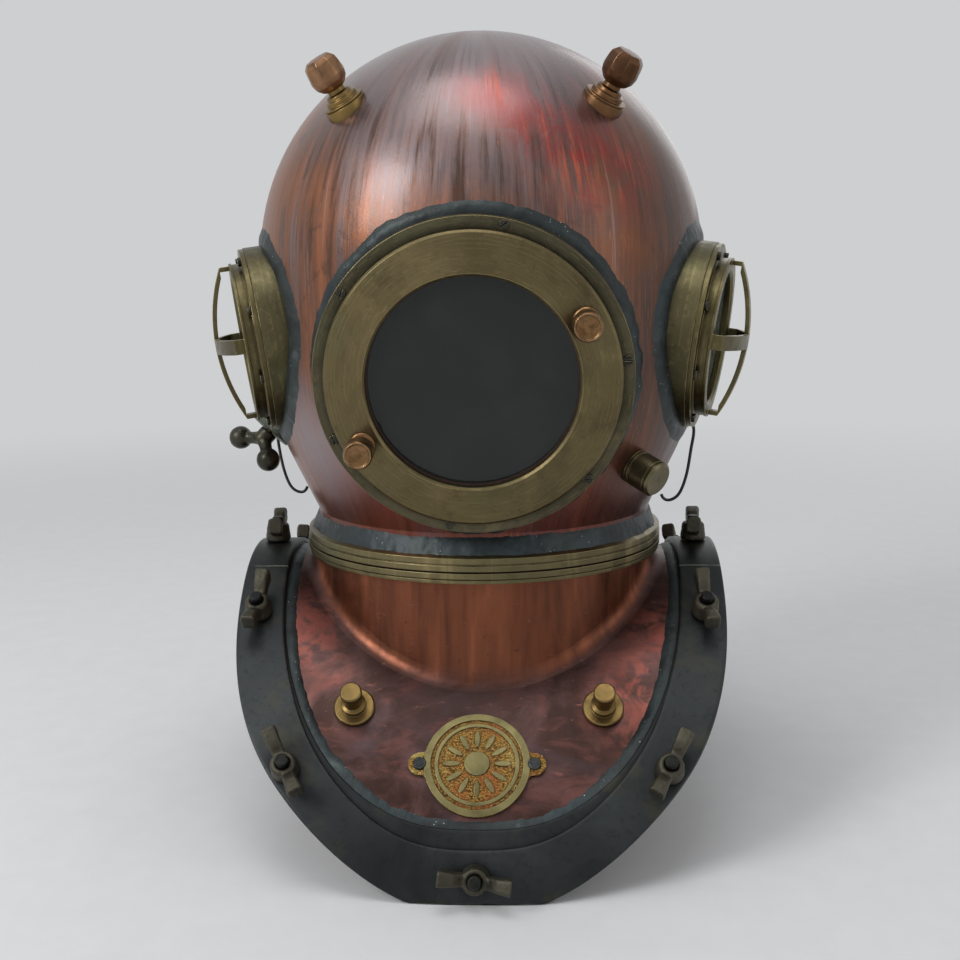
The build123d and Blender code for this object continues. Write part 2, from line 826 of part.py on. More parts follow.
# Screwed front ring with its glass, bedding, retainer and knobs
ring_foot = front_ring_lift
glass_cavity_radius = front_glass_radius + glass_clearance
boss_radius = front_thread_radius - thread_clearance
lip_underside = front_glass_top + bedding_thickness
front_knob_places = []
for knob_turn in (front_knob_angle, front_knob_angle + half_turn):
    knob_spot = front_place.from_local_coords((front_knob_orbit * cos(radians(knob_turn)),
                                               front_knob_orbit * sin(radians(knob_turn)), 0))
    front_knob_places.append(Plane(origin=knob_spot, x_dir=front_place.x_dir, z_dir=front_place.z_dir))
face_fall = front_ring_crown_height - front_ring_rim_height
face_run = front_ring_radius - front_ring_rim_step - front_opening_radius - front_lip_bevel
knob_share = (front_knob_orbit - front_opening_radius - front_lip_bevel) / face_run
knob_face = front_ring_crown_height - face_fall * knob_share
with BuildPart() as front_ring:
    add(turned(front_place, (
        (front_opening_radius, lip_underside),
        (glass_cavity_radius, lip_underside),
        (glass_cavity_radius, -front_boss_depth),
        (boss_radius, -front_boss_depth),
        (boss_radius, ring_foot),
        (front_ring_radius, ring_foot),
        (front_ring_radius, front_ring_rim_height - front_ring_rim_step),
        (front_ring_radius - front_ring_rim_step, front_ring_rim_height),
        (front_opening_radius + front_lip_bevel, front_ring_crown_height),
        (front_opening_radius, front_ring_crown_height - front_lip_bevel))))
    for knob_place in front_knob_places:
        with BuildSketch(knob_place.offset(knob_face - front_knob_root)):
            Circle(front_knob_neck_radius + front_knob_fit)
        extrude(amount=reach_out, mode=Mode.SUBTRACT)
finish(front_ring, "front_ring")

with BuildPart() as front_glass:
    with BuildSketch(front_place.offset(front_glass_top)):
        Circle(front_glass_radius)
    extrude(amount=-front_glass_thickness)
finish(front_glass, "front_glass")

with BuildPart() as front_gasket:
    with BuildSketch(front_place.offset(front_glass_top)):
        Circle(front_glass_radius)
        Circle(front_opening_radius - small_edge, mode=Mode.SUBTRACT)
    extrude(amount=bedding_thickness)
finish(front_gasket, "front_gasket")

retainer_top = front_glass_top - front_glass_thickness
with BuildPart() as front_retainer:
    with BuildSketch(front_place.offset(retainer_top)):
        Circle(glass_cavity_radius)
        Circle(retainer_inner_radius, mode=Mode.SUBTRACT)
    extrude(amount=-retainer_thickness)
finish(front_retainer, "front_retainer")

knob_parts = []
for knob_place in front_knob_places:
    with BuildPart() as knob:
        add(turned(knob_place.offset(knob_face), (
            (0, -front_knob_root),
            (front_knob_neck_radius, -front_knob_root),
            (front_knob_neck_radius, -front_knob_skirt),
            (front_knob_foot_radius, -front_knob_skirt),
            (front_knob_foot_radius, front_knob_foot_height),
            (front_knob_neck_radius, front_knob_foot_height + small_edge),
            (front_knob_neck_radius, front_knob_neck_height),
            (front_knob_radius - front_knob_edge, front_knob_neck_height + small_edge),
            (front_knob_radius, front_knob_neck_height + front_knob_edge + small_edge),
            (front_knob_radius, front_knob_height - front_knob_edge),
            (front_knob_radius - front_knob_edge, front_knob_height),
            (0, front_knob_height))))
        add(front_ring.part, mode=Mode.SUBTRACT)
    knob_parts.append(knob.part)
front_knobs = Compound(children=knob_parts, label="front_knobs")
export_step(front_knobs, "parts/front_knobs.step")

# Studs on the dome
for side_name, side in (("left", -1), ("right", 1)):
    spot_x = side * dome_stud_spot[0]
    spot_y = dome_stud_spot[1]
    spot_z = bonnet_centre_height + sqrt(bonnet_radius ** 2 - spot_x ** 2 - spot_y ** 2)
    lean = Vector(side * dome_stud_axis[0], dome_stud_axis[1], dome_stud_axis[2]).normalized()
    dome_place = facing(Vector(spot_x, spot_y, spot_z), lean)
    foot = (
        (0, -dome_foot_sink),
        (dome_foot_radius, -dome_foot_sink),
        (dome_foot_radius, dome_foot_height),
        (dome_collar_radius, dome_foot_height),
        (dome_collar_radius, dome_collar_height),
        (dome_neck_radius, dome_collar_height + small_edge))
    with BuildPart() as dome_stud:
        add(turned(dome_place, foot + (
            (dome_neck_radius, dome_head_low),
            (dome_head_foot_radius, dome_head_low),
            (dome_head_swell_radius, dome_head_swell_height),
            (dome_head_shoulder_radius, dome_head_shoulder_height),
            (dome_head_top_radius, dome_head_height),
            (0, dome_head_height))))
        add(bonnet_outer, mode=Mode.SUBTRACT)
    finish(dome_stud, "dome_stud_" + side_name)

# Wire hooks
hook_parts = []
for side, hook_y, hook_spread in ((-1, left_hook_y, left_hook_spread), (1, right_hook_y, 0)):
    hook_top = hook_points[0][1] + hook_foot_thickness + hook_wire_radius
    turn_centre = bonnet_radius - bonnet_turn_radius
    wall = turn_centre + sqrt(bonnet_turn_radius ** 2 - (bonnet_side_foot_height - hook_top) ** 2)
    wall_x = sqrt(wall ** 2 - hook_y ** 2)
    with BuildPart() as hook:
        with BuildLine() as hook_line:
            Spline((side * (wall_x - sheet_thickness * half_share), hook_y, hook_top),
                   *[(side * (hook_x + hook_spread), hook_y, hook_z) for hook_x, hook_z in hook_points])
        with BuildSketch(Plane(origin=hook_line.line @ 0, z_dir=hook_line.line % 0)):
            Circle(hook_wire_radius)
        sweep()
        with BuildSketch(Plane(origin=(side * wall_x, hook_y, hook_top), z_dir=(side, 0, 0))):
            Circle(hook_foot_radius)
        extrude(amount=hook_foot_thickness, both=True)
        add(bonnet_outer, mode=Mode.SUBTRACT)
    hook_parts.append(hook.part)
neck_hooks = Compound(children=hook_parts, label="neck_hooks")
export_step(neck_hooks, "parts/neck_hooks.step")

# Spit cock
groove_one = cock_base_height - cock_groove_gap
groove_two = cock_base_height - cock_groove_width
with BuildPart() as spitcock_body:
    add(turned(cock_place, (
        (0, -cock_base_sink),
        (cock_radius, -cock_base_sink),
        (cock_radius, groove_one - cock_groove_width),
        (cock_radius - cock_groove_depth, groove_one - cock_groove_width),
        (cock_radius - cock_groove_depth, groove_one),
        (cock_radius, groove_one),
        (cock_radius, groove_two - cock_groove_width * half_share),
        (cock_radius - cock_groove_depth, groove_two),
        (cock_radius - cock_groove_depth, cock_base_height),
        (cock_plug_radius, cock_base_height),
        (cock_plug_radius, cock_plug_height),
        (0, cock_plug_height))))
    add(bonnet_outer, mode=Mode.SUBTRACT)
    with BuildSketch(cock_place.offset(-cock_spigot_sink)):
        Circle(cock_spigot_radius)
    extrude(amount=cock_spigot_sink + cock_base_height)
    with BuildSketch(cock_place.offset(-cock_spigot_sink)):
        Circle(cock_bore_radius)
    extrude(amount=cock_spigot_sink + cock_plug_height - cock_cap_edge, mode=Mode.SUBTRACT)
finish(spitcock_body, "spitcock_body")

cap_groove_low = cock_cap_high - cock_cap_collar
cock_cap_bore = cock_plug_radius + running_clearance
with BuildPart() as spitcock_cap:
    add(turned(cock_place, (
        (cock_cap_bore, cock_cap_low),
        (cock_radius, cock_cap_low),
        (cock_radius, cap_groove_low - cock_groove_width),
        (cock_radius - cock_groove_depth, cap_groove_low - cock_groove_width),
        (cock_radius - cock_groove_depth, cap_groove_low),
        (cock_radius, cap_groove_low),
        (cock_radius, cock_cap_high - cock_cap_edge),
        (cock_radius - cock_cap_edge, cock_cap_high),
        (0, cock_cap_high),
        (0, cock_cap_low + cock_cap_bore_depth),
        (cock_cap_bore, cock_cap_low + cock_cap_bore_depth))))
finish(spitcock_cap, "spitcock_cap")

# Exhaust valve
seat_top = -exhaust_seat_depth + exhaust_seat_thickness
stem_hole = exhaust_stem_radius + running_clearance
with BuildPart() as exhaust_housing:
    add(turned(exhaust_place, (
        (0, -exhaust_spigot_depth),
        (exhaust_bell_radius, -exhaust_spigot_depth),
        (exhaust_bell_radius, -exhaust_bell_depth),
        (exhaust_mouth_radius, -small_edge),
        (exhaust_mouth_radius - small_edge, 0),
        (0, 0))))
    add(bonnet_outer, mode=Mode.SUBTRACT)
    with BuildSketch(side_places["left"].offset(-side_flange_plane - reach_out)):
        Circle(side_flange_radius + exhaust_port_gap)
    extrude(amount=reach_out + reach_out, mode=Mode.SUBTRACT)
    with BuildSketch(exhaust_place.offset(-exhaust_roof)):
        Circle(exhaust_spigot_radius)
    extrude(amount=exhaust_roof - exhaust_spigot_depth)
    with BuildSketch(exhaust_place.offset(-exhaust_spigot_depth)):
        Circle(exhaust_seat_radius)
    extrude(amount=exhaust_spigot_depth - exhaust_roof, mode=Mode.SUBTRACT)
    with BuildSketch(exhaust_place.offset(seat_top)):
        Circle(exhaust_chamber_radius)
    extrude(amount=-seat_top - exhaust_roof, mode=Mode.SUBTRACT)
    with BuildSketch(exhaust_place.offset(-exhaust_roof - small_edge)):
        with PolarLocations(exhaust_vent_orbit, exhaust_vent_count):
            Circle(exhaust_vent_radius)
    extrude(amount=exhaust_roof + small_edge + small_edge, mode=Mode.SUBTRACT)
    with BuildSketch(exhaust_place.offset(-exhaust_roof - small_edge)):
        Circle(stem_hole)
    extrude(amount=exhaust_roof + small_edge + small_edge, mode=Mode.SUBTRACT)
finish(exhaust_housing, "exhaust_housing")

valve_foot = seat_top + exhaust_valve_rest
with BuildPart() as exhaust_valve:
    add(turned(exhaust_place, (
        (0, valve_foot),
        (exhaust_disc_radius, valve_foot),
        (exhaust_disc_radius, valve_foot + exhaust_disc_thickness),
        (exhaust_stem_radius, valve_foot + exhaust_disc_thickness + exhaust_disc_thickness),
        (exhaust_stem_radius, exhaust_stem_top),
        (0, exhaust_stem_top))))
finish(exhaust_valve, "exhaust_valve")

arm_direction = Vector(*handle_line)
arm_direction = (arm_direction - exhaust_place.z_dir * arm_direction.dot(exhaust_place.z_dir)).normalized()
handle_arms = []
for side in (-1, 1):
    ball_spot = (exhaust_place.origin + exhaust_place.z_dir * handle_ball_height
                 + arm_direction * (side * handle_ball_orbit))
    root_spot = exhaust_place.origin + exhaust_place.z_dir * handle_arm_height
    arm_axis = (ball_spot - root_spot).normalized()
    arm_length = (ball_spot - root_spot).length
    arm_place = facing(root_spot, arm_axis)
    with BuildPart() as handle_arm:
        add(turned(arm_place, (
            (0, 0),
            (handle_arm_root_radius, 0),
            (handle_arm_tip_radius, arm_length - handle_ball_radius * third_share),
            (0, arm_length))))
        with Locations(ball_spot):
            Sphere(handle_ball_radius)
    handle_arms.append(handle_arm.part)
with BuildPart() as exhaust_handle:
    with BuildSketch(exhaust_place.offset(handle_lift)):
        Circle(handle_hub_radius)
    extrude(amount=handle_hub_height)
    for arm in handle_arms:
        add(arm)
    with BuildSketch(exhaust_place):
        Circle(handle_pocket_radius)
    extrude(amount=handle_pocket_depth, mode=Mode.SUBTRACT)
    with BuildSketch(exhaust_place.offset(handle_lift)):
        Circle(bonnet_radius)
    extrude(amount=-reach_out, mode=Mode.SUBTRACT)
finish(exhaust_handle, "exhaust_handle")

# Air inlet elbow
elbow_arc = radians(elbow_turn)
with BuildPart() as inlet_elbow:
    add(turned(inlet_place, (
        (0, -inlet_sink),
        (inlet_flange_radius, -inlet_sink),
        (inlet_flange_radius, inlet_flange_height),
        (inlet_pipe_radius, inlet_flange_height),
        (inlet_pipe_radius, inlet_pipe_height - flap_thickness),
        (inlet_pipe_radius - flap_thickness, inlet_pipe_height),
        (0, inlet_pipe_height))))
    add(bonnet_outer, mode=Mode.SUBTRACT)
    add(turned(inlet_place, ring_outline(0, inlet_bore_radius, -inlet_sink * half_share, inlet_seat_height)),
        mode=Mode.SUBTRACT)
bend_start = inlet_place.origin + inlet_place.z_dir * inlet_pipe_height
down = Vector(0, 0, -1)
bend_middle = (bend_start + inlet_place.z_dir * (elbow_turn_radius * sin(elbow_arc * half_share))
               + down * (elbow_turn_radius * (1 - cos(elbow_arc * half_share))))
bend_end = (bend_start + inlet_place.z_dir * (elbow_turn_radius * sin(elbow_arc))
            + down * (elbow_turn_radius * (1 - cos(elbow_arc))))
nozzle_axis = (inlet_place.z_dir * cos(elbow_arc) + down * sin(elbow_arc)).normalized()
nozzle_end = bend_end + nozzle_axis * nozzle_length
seat_spot = inlet_place.origin + inlet_place.z_dir * inlet_seat_height
with BuildPart() as elbow_bend:
    with BuildLine() as bend_line:
        Line(seat_spot, bend_start)
        ThreePointArc(bend_start, bend_middle, bend_end)
        Line(bend_end, nozzle_end)
    with BuildSketch(Plane(origin=seat_spot, z_dir=inlet_place.z_dir)):
        Circle(elbow_pipe_radius)
    sweep()
    with BuildSketch(Plane(origin=bend_end, z_dir=nozzle_axis)):
        Circle(nozzle_radius)
    extrude(amount=nozzle_length)
with BuildPart() as elbow_way:
    with BuildLine():
        Line(seat_spot - inlet_place.z_dir * small_edge, bend_start)
        ThreePointArc(bend_start, bend_middle, bend_end)
        Line(bend_end, nozzle_end + nozzle_axis * small_edge)
    with BuildSketch(Plane(origin=seat_spot - inlet_place.z_dir * small_edge, z_dir=inlet_place.z_dir)):
        Circle(inlet_waterway_radius)
    sweep()
pin_height = inlet_seat_height - flap_rest - flap_barrel_radius
pivot_spot = inlet_place.from_local_coords((0, flap_pivot_offset, pin_height))
pin_place = Plane(origin=pivot_spot, x_dir=inlet_place.z_dir, z_dir=inlet_place.x_dir)
with BuildPart() as inlet_body:
    add(inlet_elbow.part)
    add(elbow_bend.part)
    add(elbow_way.part, mode=Mode.SUBTRACT)
    with BuildSketch(pin_place):
        Circle(flap_pin_radius)
    extrude(amount=flap_pin_half, both=True)
finish(inlet_body, "inlet_elbow")

with BuildPart() as inlet_flap:
    with BuildSketch(inlet_place.offset(inlet_seat_height - flap_rest)):
        Circle(flap_radius)
    extrude(amount=-flap_thickness)
    with BuildSketch(pin_place):
        Circle(flap_barrel_radius)
    extrude(amount=flap_barrel_half, both=True)
    with BuildSketch(pin_place):
        Circle(flap_pin_radius + running_clearance)
    extrude(amount=flap_pin_half, both=True, mode=Mode.SUBTRACT)
finish(inlet_flap, "inlet_flap")

# Telephone boss and its gland cap
with BuildPart() as phone_boss:
    add(turned(phone_place, (
        (0, -inlet_sink),
        (phone_flange_radius, -inlet_sink),
        (phone_flange_radius, phone_flange_height),
        (phone_boss_radius, phone_flange_height + flap_thickness),
        (phone_boss_radius, phone_boss_height),
        (0, phone_boss_height))))
    add(bonnet_outer, mode=Mode.SUBTRACT)
    add(turned(phone_place, ring_outline(0, phone_bore_radius, -inlet_sink * half_share,
                                         phone_boss_height + small_edge)), mode=Mode.SUBTRACT)
finish(phone_boss, "phone_boss")

with BuildPart() as phone_cap:
    with BuildSketch(phone_place.offset(phone_cap_low)):
        RegularPolygon(phone_cap_radius, phone_flat_count)
    extrude(amount=phone_cap_high - phone_cap_low)
    chamfer(phone_cap.edges().group_by(Axis(phone_place.origin, phone_place.z_dir))[-1], phone_cap_edge)
    add(turned(phone_place, ring_outline(0, phone_boss_radius + running_clearance, 0,
                                         phone_boss_height + joint_clearance)), mode=Mode.SUBTRACT)
    with BuildSketch(phone_place):
        Circle(phone_gland_radius)
    extrude(amount=reach_out, mode=Mode.SUBTRACT)
finish(phone_cap, "phone_cap")

# Latch that keeps the bonnet from turning
cheek_offset = (latch_cheek_gap + latch_cheek_thickness) * half_share
with BuildPart() as latch_bracket:
    for side in (-1, 1):
        with BuildSketch(Plane.YZ.offset(side * cheek_offset)):
            with BuildLine():
                Polyline((neck_radius, latch_bracket_foot), (latch_pin_reach, latch_bracket_foot),
                         (latch_pin_reach + latch_cheek_radius, latch_pin_height),
                         (latch_pin_reach, latch_pin_height + latch_cheek_radius),
                         (latch_pin_reach - latch_cheek_radius, latch_pin_height),
                         (latch_bracket_back, latch_bracket_top - latch_cheek_thickness),
                         (neck_radius, latch_bracket_top - latch_cheek_thickness), close=True)
            make_face()
        extrude(amount=latch_cheek_thickness * half_share, both=True)
    add(turned(Plane.XY, ring_outline(0, neck_ring_radius, 0, arch_reach)), mode=Mode.SUBTRACT)
    with BuildSketch(Plane(origin=(0, latch_pin_reach, latch_pin_height), z_dir=(1, 0, 0))):
        Circle(latch_pin_radius)
    extrude(amount=cheek_offset + latch_cheek_thickness, both=True)
finish(latch_bracket, "latch_bracket")

with BuildPart() as latch_catch:
    with BuildSketch(Plane.YZ):
        with Locations((latch_pin_reach, latch_pin_height)):
            Circle(latch_head_radius)
        with Locations((latch_pin_reach, (latch_pin_height + latch_catch_foot) * half_share)):
            Rectangle(latch_catch_depth, latch_pin_height - latch_catch_foot)
    extrude(amount=latch_catch_width * half_share, both=True)
    with BuildSketch(Plane(origin=(0, latch_pin_reach, latch_pin_height), z_dir=(1, 0, 0))):
        Circle(latch_pin_radius + latch_pin_hole_clearance)
    extrude(amount=cheek_offset + latch_cheek_thickness, both=True, mode=Mode.SUBTRACT)
finish(latch_catch, "latch_catch")

stop_offset = (latch_stop_gap + latch_stop_thickness) * half_share
with BuildPart() as latch_stop:
    with Locations((-stop_offset, (neck_radius + latch_stop_reach) * half_share, 0),
                   (stop_offset, (neck_radius + latch_stop_reach) * half_share, 0)):
        with Locations((0, 0, (latch_stop_low + latch_stop_high) * half_share)):
            Box(latch_stop_thickness, latch_stop_reach - neck_radius, latch_stop_high - latch_stop_low)
    add(turned(Plane.XY, ring_outline(0, neck_ring_radius, 0, arch_reach)), mode=Mode.SUBTRACT)
finish(latch_stop, "latch_stop")

# Air duct from the inlet to the front glass
duct_outer = bonnet_inner
duct_under = bonnet_block(sheet_thickness + duct_depth)
duct_roof = bonnet_block(sheet_thickness + duct_wall)
duct_floor = bonnet_block(sheet_thickness + duct_depth - duct_wall)
duct_plane = Plane(origin=(0, 0, 0), x_dir=inlet_level, z_dir=(0, 0, 1))
with BuildPart() as duct_core:
    add(duct_roof)
    add(duct_floor, mode=Mode.SUBTRACT)
    with BuildSketch(duct_plane.offset(duct_foot_height + duct_wall)):
        with Locations((bonnet_radius * half_share, 0)):
            Rectangle(bonnet_radius, duct_width - duct_wall - duct_wall)
    extrude(amount=arch_reach, mode=Mode.INTERSECT)
with BuildPart() as duct_front_core:
    add(duct_roof)
    add(duct_floor, mode=Mode.SUBTRACT)
    with BuildSketch(duct_plane.offset(duct_front_height - duct_wall)):
        with Locations((-bonnet_radius * half_share, 0)):
            Rectangle(bonnet_radius, duct_width - duct_wall - duct_wall)
    extrude(amount=arch_reach, mode=Mode.INTERSECT)
with BuildPart() as duct_back:
    add(duct_outer)
    add(duct_under, mode=Mode.SUBTRACT)
    with BuildSketch(duct_plane.offset(duct_foot_height)):
        with Locations((bonnet_radius * half_share, 0)):
            Rectangle(bonnet_radius, duct_width)
    extrude(amount=arch_reach, mode=Mode.INTERSECT)
with BuildPart() as duct_front:
    add(duct_outer)
    add(duct_under, mode=Mode.SUBTRACT)
    with BuildSketch(duct_plane.offset(duct_front_height)):
        with Locations((-bonnet_radius * half_share, 0)):
            Rectangle(bonnet_radius, duct_width)
    extrude(amount=arch_reach, mode=Mode.INTERSECT)
with BuildPart() as air_duct:
    add(duct_back.part)
    add(duct_front.part)
    add(duct_core.part, mode=Mode.SUBTRACT)
    add(duct_front_core.part, mode=Mode.SUBTRACT)
    with BuildSketch(inlet_place.offset(-sheet_thickness - duct_wall - small_edge)):
        Circle(duct_mouth_radius)
    extrude(amount=sheet_thickness, both=True, mode=Mode.SUBTRACT)
finish(air_duct, "air_duct")

# Bonnet solder, trimmed where other fittings stand on the same copper
exhaust_fill = turned(exhaust_place, ring_outline(0, exhaust_spigot_radius, -exhaust_spigot_depth, 0))
solder_pieces = []
for solder_piece in [bonnet_solder.part, front_solder.part] + side_solders:
    with BuildPart() as solder_trim:
        add(solder_piece)
        for fitting in [exhaust_housing.part, exhaust_fill, spitcock_body.part] + hook_parts:
            add(fitting, mode=Mode.SUBTRACT)
    solder_pieces.append(solder_trim.part)
bonnet_solder_set = Compound(children=solder_pieces, label="bonnet_solder")
export_step(bonnet_solder_set, "parts/bonnet_solder.step")

# Stacked layers of the corselet rim, from the brails down to the copper
brail_top = arch_block(0)
brail_foot = arch_block(brail_thickness)
sheet_inset = brail_thickness + rim_thickness
sheet_top = arch_block(sheet_inset)
sheet_foot = arch_block(sheet_inset + sheet_thickness)
outer_plan = plan_block(outer_half_width, outer_half_depth, outer_power, 0)
sheet_plan = plan_block(outer_half_width, outer_half_depth, outer_power, -sheet_edge_inset)
inner_plan = plan_block(inner_half_width, inner_half_depth, inner_power, 0)
rim_inner_plan = plan_block(inner_half_width, rim_inner_half_depth, inner_power, 0)
solder_plan = plan_block(inner_half_width, rim_inner_half_depth, inner_power, -corselet_solder_width)
solder_top = arch_block(sheet_inset - corselet_solder_thickness)

# Studs all round the rim
stud_places = []
stud_quarters = (
    (1, 1, (0, 1, 2, 3)),
    (1, -1, (2, 1)),
    (-1, -1, (0, 1, 2)),
    (-1, 1, (3, 2, 1)),
)
for side_x, side_y, picks in stud_quarters:
    for pick in picks:
        stud_x, stud_y = stud_centres[pick]
        if pick == 0 and side_y < 0:
            stud_places.append(arch_place(stud_x, -stud_y, 0))
        else:
            stud_places.append(arch_place(side_x * stud_x, side_y * stud_y, 0))
stud_floor = -brail_thickness - rim_thickness
stud_hole = stud_radius + stud_hole_clearance
stud_parts = []
for stud_place in stud_places:
    with BuildPart() as stud:
        add(turned(stud_place, (
            (0, stud_floor),
            (stud_head_radius, stud_floor),
            (stud_head_radius, stud_floor + stud_head_height),
            (stud_radius, stud_floor + stud_head_height),
            (stud_radius, stud_length - small_edge),
            (stud_radius - small_edge, stud_length),
            (0, stud_length))))
        add(sheet_top, mode=Mode.SUBTRACT)
    stud_parts.append(stud.part)
corselet_studs = Compound(children=stud_parts, label="corselet_studs")
export_step(corselet_studs, "parts/corselet_studs.step")

# Corselet copper with its neck
with BuildPart() as corselet_blank:
    add(sheet_top)
    with BuildSketch(Plane.XY):
        Circle(neck_radius)
    extrude(amount=arch_height + reach_out)
    root_edges = []
    for edge in corselet_blank.edges():
        spot = edge @ neck_root_share
        off_line = abs(hypot(spot.X, spot.Y) - neck_radius)
        if off_line < small_edge < spot.Z < arch_height:
            root_edges.append(edge)
    fillet(root_edges, neck_root_radius)
with BuildPart() as corselet_hollow:
    add(sheet_foot)
    with BuildSketch(Plane.XY):
        Circle(neck_inner_radius)
    extrude(amount=arch_height + reach_out)
with BuildPart() as corselet_shell:
    add(corselet_blank.part)
    add(sheet_plan, mode=Mode.INTERSECT)
    add(corselet_hollow.part, mode=Mode.SUBTRACT)
    with BuildSketch(Plane.XY.offset(corselet_ring_low)):
        Circle(arch_reach)
    extrude(amount=arch_reach, mode=Mode.SUBTRACT)
finish(corselet_shell, "corselet_shell")

# Brass rim under the brails
with BuildPart() as corselet_rim:
    add(brail_foot)
    add(sheet_top, mode=Mode.SUBTRACT)
    add(outer_plan, mode=Mode.INTERSECT)
    add(rim_inner_plan, mode=Mode.SUBTRACT)
    add(turned(Plane.XY, ring_outline(0, neck_ring_radius + small_edge, 0, arch_reach)),
        mode=Mode.SUBTRACT)
    for stud_part in stud_parts:
        add(stud_part, mode=Mode.SUBTRACT)
finish(corselet_rim, "corselet_rim")

# Four brails clamped on the rim by the wing nuts
brail_cut = outer_half_depth * brail_joint_share
with BuildPart() as brail_set:
    add(brail_top)
    add(brail_foot, mode=Mode.SUBTRACT)
    add(outer_plan, mode=Mode.INTERSECT)
    add(inner_plan, mode=Mode.SUBTRACT)
    add(turned(Plane.XY, ring_outline(0, neck_ring_radius + small_edge, 0, arch_reach)),
        mode=Mode.SUBTRACT)
    for stud_place in stud_places:
        with BuildSketch(stud_place):
            Circle(stud_hole)
        extrude(amount=stud_length, both=True, mode=Mode.SUBTRACT)
brail_end_middle = brail_cut + brail_gap * half_share + arch_reach * half_share
brail_boxes = {
    "brail_front": (arch_reach, arch_reach, 0, -brail_end_middle),
    "brail_rear": (arch_reach, arch_reach, 0, brail_end_middle),
    "brail_left": (arch_reach, brail_cut + brail_cut - brail_gap, -arch_reach * half_share, 0),
    "brail_right": (arch_reach, brail_cut + brail_cut - brail_gap, arch_reach * half_share, 0),
}
for brail_name, (box_x, box_y, box_at_x, box_at_y) in brail_boxes.items():
    with BuildPart() as brail:
        add(brail_set.part)
        with BuildSketch(Plane.XY):
            with Locations((box_at_x, box_at_y)):
                Rectangle(box_x, box_y)
        extrude(amount=arch_reach, mode=Mode.INTERSECT)
    finish(brail, brail_name)

# Solder along the rim
badge_place = arch_place(0, badge_centre_y, sheet_inset)
with BuildPart() as rim_solder:
    add(solder_top)
    add(sheet_top, mode=Mode.SUBTRACT)
    add(rim_inner_plan, mode=Mode.INTERSECT)
    add(solder_plan, mode=Mode.SUBTRACT)
    add(corselet_blank.part, mode=Mode.SUBTRACT)
    add(turned(Plane.XY, ring_outline(0, neck_ring_radius + small_edge, 0, arch_reach)),
        mode=Mode.SUBTRACT)
    with BuildSketch(badge_place):
        Circle(badge_radius + badge_solder_gap)
    extrude(amount=reach_out * half_share, both=True, mode=Mode.SUBTRACT)
corselet_solder = Compound(children=[rim_solder.part], label="corselet_solder")
export_step(corselet_solder, "parts/corselet_solder.step")

# Wing nuts
for nut_index, stud_place in enumerate(stud_places):
    nut_line = nut_turns[nut_index]
    across = stud_place.x_dir * cos(radians(nut_line)) + stud_place.y_dir * sin(radians(nut_line))
    wing_plane = Plane(origin=stud_place.origin, x_dir=across, z_dir=across.cross(stud_place.z_dir))
    with BuildPart() as wing_nut:
        add(turned(stud_place, (
            (0, nut_lift),
            (nut_hub_radius, nut_lift),
            (nut_hub_radius, nut_foot_height),
            (nut_hub_top_radius, nut_hub_height - small_edge),
            (nut_hub_top_radius - small_edge, nut_hub_height),
            (0, nut_hub_height))))
        for side in (-1, 1):
            with BuildSketch(wing_plane):
                with BuildLine():
                    Polyline((side * nut_wing_root, nut_wing_low),
                             (side * nut_wing_reach, nut_wing_tip_low),
                             (side * nut_wing_reach, nut_wing_tip_high),
                             (side * nut_wing_shoulder, nut_wing_tip_high - small_edge),
                             (side * nut_wing_root, nut_hub_height - small_edge), close=True)
                make_face()
            extrude(amount=nut_wing_thickness * half_share, both=True)
        with BuildSketch(stud_place):
            Circle(stud_radius + nut_clearance)
        extrude(amount=reach_out, mode=Mode.SUBTRACT)
    finish(wing_nut, "wing_nut_" + str(nut_index + 1).zfill(2))

# Studs that carry the chest weights
weight_parts = []
for side in (-1, 1):
    weight_place = arch_place(side * weight_stud_centre[0], weight_stud_centre[1], sheet_inset)
    with BuildPart() as weight_stud:
        add(turned(weight_place, (
            (0, -weight_foot_sink),
            (weight_foot_radius, -weight_foot_sink),
            (weight_foot_radius, weight_foot_height - small_edge),
            (weight_foot_radius - small_edge, weight_foot_height),
            (weight_collar_radius, weight_foot_height),
            (weight_collar_radius, weight_collar_height),
            (weight_stem_radius, weight_collar_height + small_edge),
            (weight_stem_radius, weight_button_low),
            (weight_button_radius, weight_button_low),
            (weight_button_radius, weight_button_high - small_edge),
            (weight_button_radius - small_edge, weight_button_high),
            (0, weight_button_high))))
        add(sheet_top, mode=Mode.SUBTRACT)
    weight_parts.append(weight_stud.part)
weight_studs = Compound(children=weight_parts, label="weight_studs")
export_step(weight_studs, "parts/weight_studs.step")

